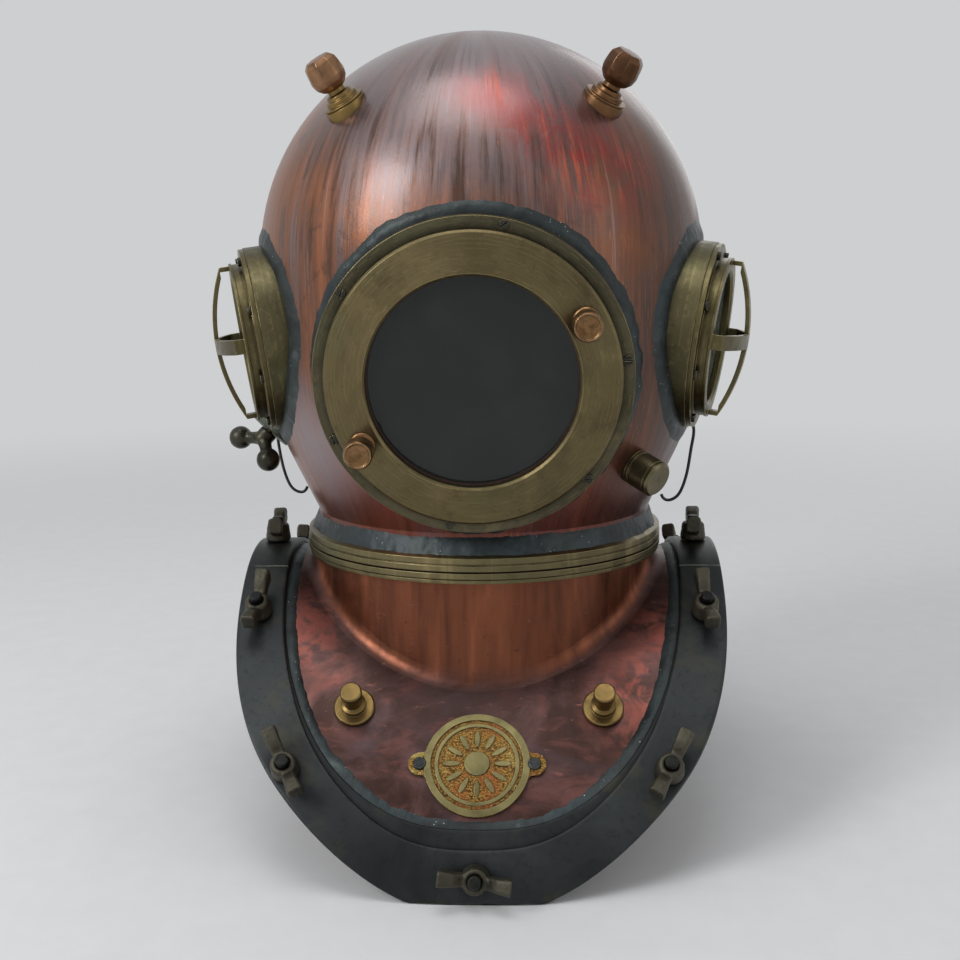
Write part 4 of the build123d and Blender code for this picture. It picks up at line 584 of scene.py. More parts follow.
class Finish:
    """One surface finish, built step by step from noise, ramps and worn edges."""

    def __init__(self, name):
        self.material = bpy.data.materials.new(name)
        self.material.use_nodes = True
        self.tree = self.material.node_tree
        self.tree.nodes.clear()
        self.output = self.add("ShaderNodeOutputMaterial")
        self.shader = self.add("ShaderNodeBsdfPrincipled")
        self.tree.links.new(self.shader.outputs[0], self.output.inputs[0])
        self.spot = self.add("ShaderNodeTexCoord").outputs["Object"]

    def add(self, kind, **settings):
        node = self.tree.nodes.new(kind)
        for name, value in settings.items():
            setattr(node, name, value)
        return node

    def feed(self, socket, value):
        if isinstance(value, bpy.types.NodeSocket):
            self.tree.links.new(value, socket)
        elif socket.type == "RGBA" and len(value) == 3:
            socket.default_value = (*value, 1.0)
        else:
            socket.default_value = value

    def maths(self, operation, *values, clamp=False):
        node = self.add("ShaderNodeMath", operation=operation, use_clamp=clamp)
        for socket, value in zip(node.inputs, values):
            self.feed(socket, value)
        return node.outputs[0]

    def vector(self, operation, *values):
        node = self.add("ShaderNodeVectorMath", operation=operation)
        for socket, value in zip(node.inputs, values):
            self.feed(socket, value)
        return node.outputs["Value" if operation in ("LENGTH", "DISTANCE", "DOT_PRODUCT") else "Vector"]

    def scaled(self, vector, factor):
        node = self.add("ShaderNodeVectorMath", operation="SCALE")
        self.feed(node.inputs[0], vector)
        self.feed(node.inputs["Scale"], factor)
        return node.outputs["Vector"]

    def split(self, vector):
        node = self.add("ShaderNodeSeparateXYZ")
        self.feed(node.inputs[0], vector)
        return node.outputs[0], node.outputs[1], node.outputs[2]

    def joined(self, x, y, z):
        node = self.add("ShaderNodeCombineXYZ")
        for socket, value in zip(node.inputs, (x, y, z)):
            self.feed(socket, value)
        return node.outputs[0]

    def noise(self, scale, detail=4.0, roughness=0.55, distortion=0.0, at=None):
        node = self.add("ShaderNodeTexNoise")
        self.feed(node.inputs["Vector"], at or self.spot)
        for name, value in (("Scale", scale), ("Detail", detail), ("Roughness", roughness),
                            ("Distortion", distortion)):
            node.inputs[name].default_value = value
        return node.outputs["Fac"]

    def cells(self, scale):
        node = self.add("ShaderNodeTexVoronoi")
        self.feed(node.inputs["Vector"], self.spot)
        node.inputs["Scale"].default_value = scale
        return node.outputs["Distance"]

    def ramp(self, value, *stops):
        node = self.add("ShaderNodeValToRGB")
        self.feed(node.inputs[0], value)
        elements = node.color_ramp.elements
        while len(elements) < len(stops):
            elements.new(0.5)
        for element, (position, colour, *strength) in zip(elements, stops):
            element.position = position
            element.color = (*shade_of(colour, *strength), 1.0)
        return node.outputs[0]

    def rise(self, value, low, high, to_low=0.0, to_high=1.0):
        """0 below low, 1 above high and smooth between; or the other way where low is the larger."""
        node = self.add("ShaderNodeMapRange", interpolation_type="SMOOTHSTEP")
        if low > high:
            low, high, to_low, to_high = high, low, to_high, to_low
        for socket, number in zip(node.inputs, (value, low, high, to_low, to_high)):
            self.feed(socket, number)
        return node.outputs[0]

    def mix(self, factor, first, second, kind="MIX"):
        node = self.add("ShaderNodeMix", data_type="RGBA", blend_type=kind)
        self.feed(node.inputs[0], factor)
        self.feed(node.inputs[6], first)
        self.feed(node.inputs[7], second)
        return node.outputs[2]

    def times(self, *values):
        result = values[0]
        for value in values[1:]:
            result = self.maths("MULTIPLY", result, value)
        return result

    def bump(self, height, strength, distance, under=None):
        node = self.add("ShaderNodeBump")
        node.inputs["Strength"].default_value = strength
        node.inputs["Distance"].default_value = distance
        self.feed(node.inputs["Height"], height)
        if under is not None:
            self.feed(node.inputs["Normal"], under)
        return node.outputs[0]

    def worn_edges(self, radius, width=6.0):
        """Mask of outer and inner edges, and a normal that rounds them."""
        rounded = self.add("ShaderNodeBevel", samples=6)
        rounded.inputs["Radius"].default_value = radius
        flat = self.add("ShaderNodeNewGeometry").outputs["Normal"]
        match = self.vector("DOT_PRODUCT", rounded.outputs[0], flat)
        mask = self.maths("MULTIPLY", self.less(1.0, match), width, clamp=True)
        return mask, rounded.outputs[0]

    def muck_and_shade_mask(self, distance):
        """Near 1 in corners, the mask of the muck that gathers there and of painted shade; 0 on open faces.
        """
        node = self.add("ShaderNodeAmbientOcclusion", samples=6)
        node.inputs["Distance"].default_value = distance
        return self.rise(node.outputs["AO"], 0.95, 0.45)

    def plus(self, first, second):
        return self.maths("ADD", first, second)

    def less(self, first, second):
        return self.maths("SUBTRACT", first, second)

    def lay(self, colour, *shares):
        """Lay a colour over the finish, as strongly as its masks and shares multiply to."""
        self.body = self.mix(self.times(*shares), self.body, colour)

    def done(self, rough, metal, normal=None, **sockets):
        self.feed(self.shader.inputs["Base Color"], self.body)
        self.feed(self.shader.inputs["Roughness"], rough)
        self.feed(self.shader.inputs["Metallic"], metal)
        if normal is not None:
            self.feed(self.shader.inputs["Normal"], normal)
        for name, value in sockets.items():
            self.feed(self.shader.inputs[name.replace("_", " ")], value)
        return self.material


def drips(finish, height_share):
    """Coordinates that run down the dome, so that noise becomes streaks."""
    x, y, z = finish.split(finish.spot)
    flat = finish.vector("NORMALIZE", finish.joined(x, y, 0.0))
    around = finish.scaled(flat, 0.15)
    return finish.vector("ADD", around, finish.joined(0.0, 0.0, finish.times(z, height_share)))


def bonnet_copper(colours):
    """Spun copper with violet haze at the crown, part patina and part painted sheen, runs down its face and
    red heat patches; a painted sheen on its lower left, a warmer left flank that is partly painted light,
    and painted shade on its right.
    """
    f = Finish("bonnet_copper")
    x, y, z = f.split(f.spot)
    runs = drips(f, 0.075)
    long_runs = drips(f, 0.03)
    wide = f.noise(30, 5, 0.62, 0.25, long_runs)
    thin = f.noise(190, 6, 0.66, 0.10, runs)
    hair = f.noise(420, 4, 0.65, 0.0, long_runs)
    cloud = f.noise(9.5, 6, 0.62, 0.9)
    mottle = f.noise(60, 6, 0.68, 0.7)
    grain = f.noise(300, 4, 0.6)
    f.body = f.ramp(cloud, (0.30, colours.bonnet, 0.50), (0.47, colours.bonnet),
                    (0.60, colours.bonnet_warm, 0.62), (0.78, colours.bonnet_warm, 0.9))
    f.lay(colours.bonnet_warm, f.rise(wide, 0.50, 0.62), 0.55)
    # the left flank is laid warmer: partly the copper's own warmer tone, partly painted light from the left
    left_warmth_and_light = f.times(f.rise(x, -0.050, -0.120), f.rise(z, 0.475, 0.41))
    f.lay(colours.bonnet_warm, left_warmth_and_light, 0.50)
    f.lay(shade_of(colours.bonnet_violet_and_sheen, 0.50), f.rise(wide, 0.46, 0.34), 0.65)
    f.lay(shade_of(colours.bonnet_warm, 1.05), f.rise(thin, 0.53, 0.61), 0.45)
    f.lay(shade_of(colours.bonnet, 0.50), f.rise(thin, 0.47, 0.38), 0.50)
    f.lay(shade_of(colours.bonnet_violet_and_sheen, 0.9), f.rise(hair, 0.58, 0.68), 0.40)
    f.lay(shade_of(colours.bonnet, 0.55), f.rise(mottle, 0.56, 0.68), 0.45)
    middle = f.times(f.rise(x, 0.080, 0.030), f.rise(x, -0.105, -0.055), f.rise(z, 0.375, 0.43))
    f.lay(shade_of(colours.bonnet_violet_and_sheen, 0.66), middle, f.rise(thin, 0.30, 0.56), 0.62)
    for place, reach, depth in (((0.014, -0.110, 0.466), 0.036, 0.9), ((0.038, -0.120, 0.447), 0.034, 0.9),
                                ((0.060, -0.124, 0.424), 0.044, 0.9), ((0.088, -0.104, 0.418), 0.045, 0.7),
                                ((-0.07, -0.125, 0.235), 0.06, 0.6), ((0.068, -0.134, 0.216), 0.045, 0.8)):
        away = f.vector("DISTANCE", f.spot, place)
        red = f.times(f.rise(away, reach * 1.15, 0.0), f.rise(f.noise(30, 6, 0.72, 1.2), 0.36, 0.62),
                      f.rise(thin, 0.30, 0.52))
        f.lay(colours.bonnet_red, red, depth)
        spark = f.times(f.rise(away, reach * 0.7, 0.0), f.rise(thin, 0.50, 0.60))
        f.lay(paint(196, 92, 62), spark, 0.75)
    # the crown's violet haze: partly the copper's own patina, partly a painted sheen of the light from
    # above
    crown_haze_and_sheen = f.times(f.rise(z, 0.43, 0.51), f.rise(f.noise(16, 4, 0.6, 0.4, runs), 0.25, 0.62))
    f.lay(colours.bonnet_violet_and_sheen, crown_haze_and_sheen, 0.78)
    # painted highlight: a lilac sheen on the lower left of the dome, where the light from the left shines
    sheen = f.rise(f.vector("DISTANCE", f.spot, (-0.108, -0.104, 0.247)), 0.062, 0.012)
    f.lay(colours.bonnet_violet_and_sheen, sheen, 0.70)
    skirt = f.rise(z, 0.262, 0.205)
    f.lay(shade_of(colours.bonnet_red, 0.38), skirt, 0.60)
    # painted shade: the bonnet's right side is darkened as if turned away from the light
    f.lay(shade_of(colours.bonnet, 0.36), f.rise(x, 0.055, 0.140), 0.68)
    f.lay(shade_of(colours.bonnet, 0.6), f.rise(y, 0.0, 0.12), 0.25)
    scuff = f.rise(f.noise(540, 2, 0.5, 0.0, f.vector("MULTIPLY", f.spot, (1.0, 1.0, 0.12))), 0.66, 0.74)
    f.lay(shade_of(colours.bonnet_warm, 1.4), scuff, 0.35)
    inside = f.rise(f.vector("LENGTH", f.joined(x, y, f.maths("MAXIMUM", f.less(z, 0.367), 0.0))),
                    0.1488, 0.1481)
    inside = f.times(inside, f.rise(z, 0.296, 0.318))
    f.lay(paint(40, 35, 32), inside, 0.8)
    rough = f.plus(f.times(f.rise(thin, 0.3, 0.7), 0.16), f.times(cloud, 0.30))
    rough = f.plus(rough, f.less(0.16, f.times(f.rise(z, 0.40, 0.49), 0.08)))
    dents = f.bump(f.noise(13, 2, 0.5), 0.12, 0.004)
    normal = f.bump(f.plus(f.times(hair, 0.6), grain), 0.20, 0.0004, dents)
    return f.done(rough, 0.80, normal, Coat_Weight=0.28, Coat_Roughness=0.18)


def corselet_copper(colours):
    """Mottled copper: brown breast with rosy clouds, orange neck with dark smudges."""
    f = Finish("corselet_copper")
    x, y, z = f.split(f.spot)
    cloud = f.noise(13, 6, 0.62, 1.6)
    brush = f.noise(44, 5, 0.65, 0.8, f.vector("MULTIPLY", f.spot, (0.45, 1.0, 1.0)))
    speck = f.noise(190, 5, 0.7)
    f.body = f.ramp(cloud, (0.33, colours.corselet, 0.62), (0.46, colours.corselet),
                    (0.56, paint(88, 62, 59)), (0.68, colours.corselet_rose), (0.82, paint(156, 94, 74)))
    violet = f.rise(f.noise(9, 4, 0.6, 1.0, f.vector("ADD", f.spot, (3.0, 1.0, 0.0))), 0.48, 0.66)
    f.lay(paint(82, 71, 77), violet, 0.42)
    f.lay(colours.corselet_rose, f.rise(brush, 0.52, 0.68), 0.45)
    f.lay(shade_of(colours.corselet, 0.5), f.rise(brush, 0.42, 0.30), 0.6)
    for place, reach in (((-0.112, -0.085, 0.138), 0.05), ((0.105, -0.125, 0.10), 0.055),
                         ((0.118, -0.085, 0.135), 0.035)):
        away = f.vector("DISTANCE", f.spot, place)
        glow = f.times(f.rise(away, reach, reach * 0.2), f.rise(f.noise(50, 4, 0.6, 1.2), 0.40, 0.60))
        f.lay(paint(158, 84, 70), glow, 0.6)
    radius = f.vector("LENGTH", f.joined(x, y, 0.0))
    neck = f.times(f.rise(radius, 0.1235, 0.1178), f.rise(z, 0.095, 0.118))
    runs = drips(f, 0.16)
    neck_tone = f.ramp(f.noise(34, 4, 0.6, 0.3, runs), (0.30, colours.neck_copper, 0.30),
                       (0.45, colours.neck_copper, 0.7), (0.56, colours.neck_copper),
                       (0.75, paint(170, 102, 74)))
    f.lay(neck_tone, neck)
    shadow = f.times(f.rise(radius, 0.150, 0.124), f.rise(radius, 0.1175, 0.122))
    f.lay(shade_of(colours.corselet, 0.45), shadow, 0.5, f.rise(cloud, 0.2, 0.6))
    f.lay(shade_of(colours.corselet, 0.55), f.rise(speck, 0.60, 0.72), 0.5)
    scratch = f.noise(330, 3, 0.6, 0.2, f.vector("MULTIPLY", f.spot, (0.25, 0.6, 1.0)))
    f.lay(shade_of(colours.corselet_rose, 1.3), f.rise(scratch, 0.64, 0.74), 0.5)
    rough = f.plus(f.times(f.rise(brush, 0.3, 0.7), 0.18), 0.30)
    normal = f.bump(f.plus(speck, f.times(scratch, 0.7)), 0.22, 0.0005,
                    f.bump(f.noise(24, 3, 0.5), 0.12, 0.004))
    return f.done(rough, 0.82, normal, Coat_Weight=0.10, Coat_Roughness=0.30)


def old_brass(name, colours, colour, radius=0.0008, rough=0.33, brushed=None, muck_and_shade_depth=0.6, streak=0.0):
    """Satin brass with a worn bright edge, corners darkened by muck and painted shade and, on turned
    pieces, fine rings.
    """
    f = Finish(name)
    tone = f.noise(20, 5, 0.6, 0.6)
    spots = f.noise(130, 5, 0.65)
    f.body = f.ramp(tone, (0.28, colour, 0.62), (0.48, colour), (0.64, colour, 1.22),
                    (0.80, colours.brass_bright, 0.72))
    f.lay(shade_of(colour, 0.58), f.rise(spots, 0.55, 0.70), 0.40)
    green = f.rise(f.noise(12, 4, 0.6, 1.0, f.vector("ADD", f.spot, (0.0, 5.0, 0.0))), 0.52, 0.70)
    f.lay(paint(96, 100, 70), green, 0.30)
    if streak:
        runs = f.noise(60, 4, 0.6, 0.2, drips(f, 0.1))
        f.lay(shade_of(colours.brass_bright, 0.9), f.rise(runs, 0.5, 0.66), streak)
    edge, rounded = f.worn_edges(radius)
    worn = f.times(edge, f.rise(f.noise(60, 4, 0.6), 0.32, 0.58))
    # corners darkened: partly muck, partly painted shade
    muck_and_shade = f.muck_and_shade_mask(0.006)
    f.lay(shade_of(colour, 0.20), muck_and_shade, muck_and_shade_depth)
    f.lay(colours.brass_bright, worn, 0.9)
    marks = f.noise(700, 2, 0.5)
    height = f.plus(f.times(spots, 0.6), f.times(marks, 0.25))
    level = f.plus(f.times(f.rise(spots, 0.3, 0.7), 0.14), rough)
    if brushed:
        point, axis, _ = brushed
        from_axis = f.vector("SUBTRACT", f.spot, tuple(part * MM for part in point))
        along = f.vector("DOT_PRODUCT", from_axis, axis)
        square = f.maths("MULTIPLY", f.vector("LENGTH", from_axis), f.vector("LENGTH", from_axis))
        radial = f.maths("SQRT", f.maths("MAXIMUM", f.less(square, f.times(along, along)), 0.0))
        rings = f.noise(1500, 3, 0.6, 0.0, f.joined(radial, f.times(tone, 0.01), f.times(along, 0.3)))
        height = f.plus(height, f.times(rings, 0.55))
        f.lay(colours.brass_bright, f.rise(rings, 0.5, 0.7), 0.16)
    normal = f.bump(height, 0.14, 0.0004, rounded)
    return f.done(level, 0.90, normal)


def dark_metal(name, colours, colour, radius=0.0008, edge_colour=None, rough=0.40, lumpy=0.35, scale=1.0):
    """Dark gunmetal or bronze: cloudy, pitted, rubbed at the edges."""
    f = Finish(name)
    cloud = f.noise(11 * scale, 5, 0.6, 0.8)
    pits = f.noise(240 * scale, 5, 0.7)
    f.body = f.ramp(cloud, (0.30, colour, 0.55), (0.50, colour), (0.68, colour, 1.55), (0.85, colour, 2.1))
    f.lay(shade_of(colour, 0.45), f.rise(pits, 0.52, 0.66), 0.45)
    olive = f.rise(f.noise(30 * scale, 4, 0.6, 0.5, f.vector("ADD", f.spot, (2.0, 0.0, 1.0))), 0.50, 0.68)
    f.lay(paint(72, 70, 54), olive, 0.35)
    edge, rounded = f.worn_edges(radius)
    worn = f.times(edge, f.rise(f.noise(80 * scale, 4, 0.65), 0.36, 0.56))
    # corners darkened: partly muck, partly painted shade
    f.lay(shade_of(colour, 0.22), f.muck_and_shade_mask(0.005), 0.6)
    f.lay(edge_colour or shade_of(colours.brass_bright, 0.55), worn, 0.85)
    level = f.plus(f.times(f.rise(cloud, 0.3, 0.7), 0.15), rough)
    normal = f.bump(pits, lumpy, 0.0005, rounded)
    return f.done(level, 0.72, normal)


def solder_finish(colours):
    """Wiped solder: blue-grey, greasy, with pale pinholes and dark seams."""
    f = Finish("wiped_solder")
    cloud = f.noise(34, 5, 0.65, 0.8)
    f.body = f.ramp(cloud, (0.28, colours.solder, 0.34), (0.46, colours.solder, 0.72),
                    (0.60, colours.solder), (0.78, paint(86, 96, 94)))
    teal = f.rise(f.noise(18, 4, 0.6, 0.4, f.vector("ADD", f.spot, (0.0, 3.0, 2.0))), 0.45, 0.65)
    f.lay(paint(45, 60, 66), teal, 0.35)
    holes = f.rise(f.cells(330), 0.13, 0.08)
    few = f.rise(f.noise(60, 2, 0.5), 0.56, 0.62)
    f.lay(paint(176, 184, 178), holes, few)
    fine = f.noise(380, 5, 0.7)
    f.lay(shade_of(colours.solder, 0.35), f.rise(fine, 0.55, 0.68), 0.4)
    height = f.plus(f.times(f.noise(120, 5, 0.6), 1.0), f.times(fine, 0.4))
    rough = f.plus(f.times(cloud, 0.25), 0.30)
    return f.done(rough, 0.45, f.bump(height, 0.5, 0.0008))


def thick_glass(colours):
    """Old plate glass, faintly green, with a film of dust."""
    f = Finish("thick_glass")
    dust = f.rise(f.noise(30, 5, 0.65, 0.4), 0.35, 0.75)
    rough = f.plus(f.times(dust, 0.05), 0.015)
    f.body = colours.glass
    return f.done(rough, 0.0, f.bump(f.noise(9, 2, 0.5), 0.05, 0.004), Transmission_Weight=0.84, IOR=1.5)


def dark_glass(colours):
    """Front glass: thick and green, painted near black with little transmission, as painted shade of the
    dark inside behind it.
    """
    f = Finish("smoky_front_glass")
    dust = f.rise(f.noise(26, 5, 0.65, 0.4), 0.40, 0.78)
    # the near-black body colour is painted shade of the inside
    f.body = f.mix(f.times(dust, 0.6), shade_of(colours.glass, 0.030), shade_of(colours.glass, 0.055))
    rough = f.plus(f.times(dust, 0.07), 0.02)
    return f.done(rough, 0.0, f.bump(f.noise(7, 2, 0.5), 0.08, 0.004),
                  Transmission_Weight=0.30, IOR=1.45, Specular_IOR_Level=0.35)


def soft_washer(name, colour):
    """Greasy leather or hardened putty."""
    f = Finish(name)
    tone = f.noise(90, 5, 0.65, 0.4)
    f.body = f.ramp(tone, (0.3, colour, 0.5), (0.5, colour), (0.75, colour, 1.6))
    # corners darkened: partly muck, partly painted shade
    f.lay(shade_of(colour, 0.25), f.muck_and_shade_mask(0.004), 0.6)
    return f.done(0.62, 0.0, f.bump(f.cells(900), 0.4, 0.0004))


def badge_finish(colours):
    """Olive raised lines on a stippled gold ground, told apart by their height over the arch."""
    f = Finish("badge_metal")
    _, y, z = f.split(f.spot)
    over = []
    for (centre_y, centre_z), ground in BADGE_ROUNDS:
        off = f.vector("LENGTH", f.joined(0.0, f.less(y, centre_y * MM), f.less(z, centre_z * MM)))
        over.append(f.less(off, ground * MM))
    low_part = f.maths("LESS_THAN", y, -ARCH[1][0] * MM)
    over_ground = f.plus(f.times(over[0], f.less(1.0, low_part)), f.times(over[1], low_part))
    raised = f.rise(over_ground, 0.00022, 0.0006)
    stipple = f.cells(760)
    patches = f.noise(70, 4, 0.6, 0.4)
    ground = f.ramp(stipple, (0.18, colours.gold, 1.25), (0.42, colours.gold), (0.70, paint(84, 58, 30)))
    ground = f.mix(f.times(f.rise(patches, 0.48, 0.66), 0.6), ground, paint(158, 92, 52))
    ground = f.mix(f.times(f.rise(patches, 0.44, 0.30), 0.5), ground, paint(196, 180, 110))
    plain = f.ramp(f.noise(40, 4, 0.6, 0.4), (0.3, paint(94, 88, 58)), (0.5, paint(126, 117, 78)),
                   (0.72, paint(150, 140, 96)))
    f.body = f.mix(raised, ground, plain)
    edge, rounded = f.worn_edges(0.0004)
    # corners darkened: partly muck, partly painted shade
    f.lay(paint(36, 28, 16), f.muck_and_shade_mask(0.0025), 0.75)
    f.lay(paint(206, 192, 140), edge, f.rise(f.noise(90, 4, 0.6), 0.35, 0.6), 0.7)
    dots = f.times(f.less(1.0, raised), f.rise(stipple, 0.55, 0.15))
    fine = f.times(f.noise(500, 3, 0.6), 0.25)
    normal = f.bump(f.plus(dots, fine), 0.65, 0.0006, rounded)
    return f.done(f.plus(f.times(raised, 0.06), 0.34), 0.85, normal)


def knob_copper():
    """Warm copper rubbed bright by hands."""
    f = Finish("knob_copper")
    tone = f.noise(150, 5, 0.6, 0.4)
    f.body = f.ramp(tone, (0.3, paint(94, 68, 44)), (0.5, paint(124, 94, 62)), (0.72, paint(152, 114, 80)))
    edge, rounded = f.worn_edges(0.0006)
    # corners darkened: partly muck, partly painted shade
    f.lay(paint(52, 34, 20), f.muck_and_shade_mask(0.004), 0.7)
    f.lay(paint(238, 212, 180), edge, 0.8)
    rough = f.plus(f.times(tone, 0.2), 0.18)
    return f.done(rough, 0.92, f.bump(f.noise(600, 3, 0.6), 0.12, 0.0003, rounded))


def stud_copper(name, light):
    """Copper-brown cast stud heads with a smoky sheen."""
    f = Finish(name)
    tone = f.noise(60, 5, 0.6, 0.9)
    f.body = f.ramp(tone, (0.28, light, 0.42), (0.46, light, 0.8), (0.60, light), (0.78, light, 1.5))
    edge, rounded = f.worn_edges(0.0007)
    # corners darkened: partly muck, partly painted shade
    f.lay(shade_of(light, 0.25), f.muck_and_shade_mask(0.005), 0.6)
    f.lay(paint(214, 188, 156), edge, f.rise(f.noise(90, 4, 0.6), 0.3, 0.55), 0.7)
    rough = f.plus(f.times(tone, 0.2), 0.24)
    return f.done(rough, 0.88, f.bump(f.noise(350, 4, 0.6), 0.16, 0.0004, rounded))


def dress(material, *nodes):
    """The finish goes on every slot of these nodes."""
    for name in nodes:
        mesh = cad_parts[name].data
        if not mesh.materials:
            mesh.materials.append(material)
        for index in range(len(mesh.materials)):
            mesh.materials[index] = material


def set_piece(item, body, slot, *nodes):
    """A made piece rides on its body and stands for its nodes."""
    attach(item, body)
    if nodes:
        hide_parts(*nodes)
    return item


def show_mesh(name, mesh, material, body, slot, *nodes):
    """A finished mesh becomes a piece on its body."""
    mesh.materials.clear()
    mesh.materials.append(material)
    item = bpy.data.objects.new(name, mesh)
    bpy.context.scene.collection.objects.link(item)
    return set_piece(item, body, slot, *nodes)


def light_world(scene, backdrop, level):
    """Even light from all sides, with a plain backdrop where the camera or a mirror looks past."""
    world = bpy.data.worlds.new("studio_world")
    scene.world = world
    world.use_nodes = True
    tree = world.node_tree
    tree.nodes.clear()
    output, path, mixer = (tree.nodes.new("ShaderNode" + kind)
                           for kind in ("OutputWorld", "LightPath", "MixShader"))
    for socket, colour, strength in ((2, (*backdrop, 1), 1.0), (1, (0.98, 0.99, 1.0, 1), level)):
        sky = tree.nodes.new("ShaderNodeBackground")
        sky.inputs[0].default_value = colour
        sky.inputs[1].default_value = strength
        tree.links.new(sky.outputs[0], mixer.inputs[socket])
    seen = path.outputs["Is Camera Ray"]
    for ray, clamp in (("Is Glossy Ray", False), ("Is Transmission Ray", True)):
        either = tree.nodes.new("ShaderNodeMath")
        either.operation, either.use_clamp = "ADD", clamp
        tree.links.new(seen, either.inputs[0])
        tree.links.new(path.outputs[ray], either.inputs[1])
        seen = either.outputs[0]
    tree.links.new(seen, mixer.inputs[0])
    tree.links.new(mixer.outputs[0], output.inputs[0])


# Operators, one for each piece or group of like pieces

class HELMET_OT_bonnet(bpy.types.Operator):
    """Copper finish on the spun bonnet and its inner air duct"""
    bl_idname = "helmet.bonnet"
    bl_label = "Bonnet copper"

    def execute(self, context):
        colours = context.scene.helmet_colours
        dress(bonnet_copper(colours), "bonnet_shell")
        duct = dark_metal("tinned_duct", colours, paint(70, 66, 60), scale=1.5)
        dress(duct, "air_duct")
        return {"FINISHED"}


class HELMET_OT_corselet(bpy.types.Operator):
    """Mottled copper on the corselet"""
    bl_idname = "helmet.corselet"
    bl_label = "Corselet copper"

    def execute(self, context):
        show_mesh("corselet_sheet_trimmed", trimmed_sheet(), corselet_copper(context.scene.helmet_colours),
                  "corselet", "corselet_copper", "corselet_shell")
        return {"FINISHED"}


class HELMET_OT_rim(bpy.types.Operator):
    """Gunmetal on the rim, its four brails and the studs"""
    bl_idname = "helmet.rim"
    bl_label = "Rim and brails"

    def execute(self, context):
        colours = context.scene.helmet_colours
        top = dark_metal("rim_gunmetal", colours, colours.gunmetal, 0.0009, paint(150, 150, 136),
                         0.36, 0.20)
        bed = dark_metal("rim_bed", colours, shade_of(colours.gunmetal, 0.75), 0.0006, paint(120, 122, 112),
                         0.42, 0.25)
        ends = half_flange(BRAIL_INNER, FLANGE_OUTER, END_BRAIL_START)
        for name, side in (("front", -1), ("rear", 1)):
            pairs = [(Vector((a.x, side * a.y)), Vector((b.x, side * b.y))) for a, b in ends]
            if side < 0:
                pairs.reverse()
            flange_piece("brail_%s_strip" % name, "brail_" + name, pairs, BRAIL_TOP, BRAIL_FOOT, top,
                         3.0 + side)
        for name, side in (("left", -1), ("right", 1)):
            reaches = [side * SIDE_BRAIL_END * (step / 20 - 1) for step in range(41)]
            pairs = [tuple(Vector((side * plan_side(y, plan), y)) for plan in (BRAIL_INNER, FLANGE_OUTER))
                     for y in reaches]
            flange_piece("brail_%s_strip" % name, "brail_" + name, pairs, BRAIL_TOP, BRAIL_FOOT, top,
                         7.0 + side)
        half = half_flange(RIM_INNER, FLANGE_OUTER, 0.0)[:-1]
        loop = half + [(-a, -b) for a, b in half]
        flange_piece("corselet_rim_bed", "corselet_rim", loop, BRAIL_FOOT, RIM_FOOT, bed, 11.0, True)
        dress(dark_metal("stud_steel", colours, paint(26, 27, 28), 0.0004, paint(96, 98, 96),
                         0.4, 0.5, 2.0), "corselet_studs")
        return {"FINISHED"}


class HELMET_OT_neck_joint(bpy.types.Operator):
    """Brass neck rings, the leather between them and the latch at the back"""
    bl_idname = "helmet.neck_joint"
    bl_label = "Neck joint"

    def execute(self, context):
        colours = context.scene.helmet_colours
        dress(old_brass("neck_ring_brass", colours, paint(106, 97, 69), 0.0007, 0.30, None, 0.75, 0.4),
              "bonnet_neck_ring", "corselet_neck_ring", "latch_stop", "latch_bracket")
        dress(soft_washer("greased_leather", paint(46, 34, 26)), "neck_gasket")
        dress(dark_metal("latch_bronze", colours, colours.bronze, 0.0006, None, 0.4, 0.4, 2.0),
              "latch_catch")
        return {"FINISHED"}


class HELMET_OT_front_port(bpy.types.Operator):
    """Front frame, screwed ring, its two knobs, glass, bedding and retainer"""
    bl_idname = "helmet.front_port"
    bl_label = "Front port"

    def execute(self, context):
        colours = context.scene.helmet_colours
        dress(old_brass("front_ring_brass", colours, colours.brass, 0.0008, 0.30, FRONT, 0.55),
              "front_ring", "front_retainer")
        dress(old_brass("front_frame_brass", colours, paint(80, 75, 58), 0.0009, 0.38, FRONT, 0.8),
              "front_frame")
        dress(dark_glass(colours), "front_glass")
        dress(soft_washer("red_bedding", paint(60, 36, 28)), "front_gasket")
        place, face = seat(*FRONT), KNOB_FACE
        low, high = face + 11.6, face + 21.2
        outline = eased(((0.01, face + 0.2), (8.1, face - 2.4), (8.1, face + 1.6), (7.3, face + 2.6),
                         (6.0, face + 2.9), (4.5, face + 4.4), (4.1, face + 7.0), (4.7, face + 9.2),
                         (7.9, face + 10.0), (8.5, face + 11.4), (8.5, face + 21.4), (8.0, face + 22.4),
                         (7.6, face + 23.1), (6.9, face + 23.0), (6.4, face + 22.2),
                         (0.01, face + 22.0)), 0.5)

        def milled(angle, height):
            depth = 0.012 * blend_ring(low, low + 0.8, height) * (1 - blend_ring(high - 0.8, high, height))
            return 1 - depth * (0.5 + 0.5 * math.cos(angle * 36))

        knobs = []
        for turn in (math.radians(value) for value in KNOB_TURNS):
            spot = place @ (Vector((math.cos(turn), math.sin(turn), 0)) * (KNOB_ORBIT * MM))
            knobs.append(moved(turned_mesh(outline, 288, milled), seat(spot / MM, FRONT[1], FRONT[2])))
        item = piece_of("front_knobs_turned", *merged(knobs), knob_copper(), 50)
        set_piece(item, "front_door", "knob_copper", "front_knobs")
        return {"FINISHED"}


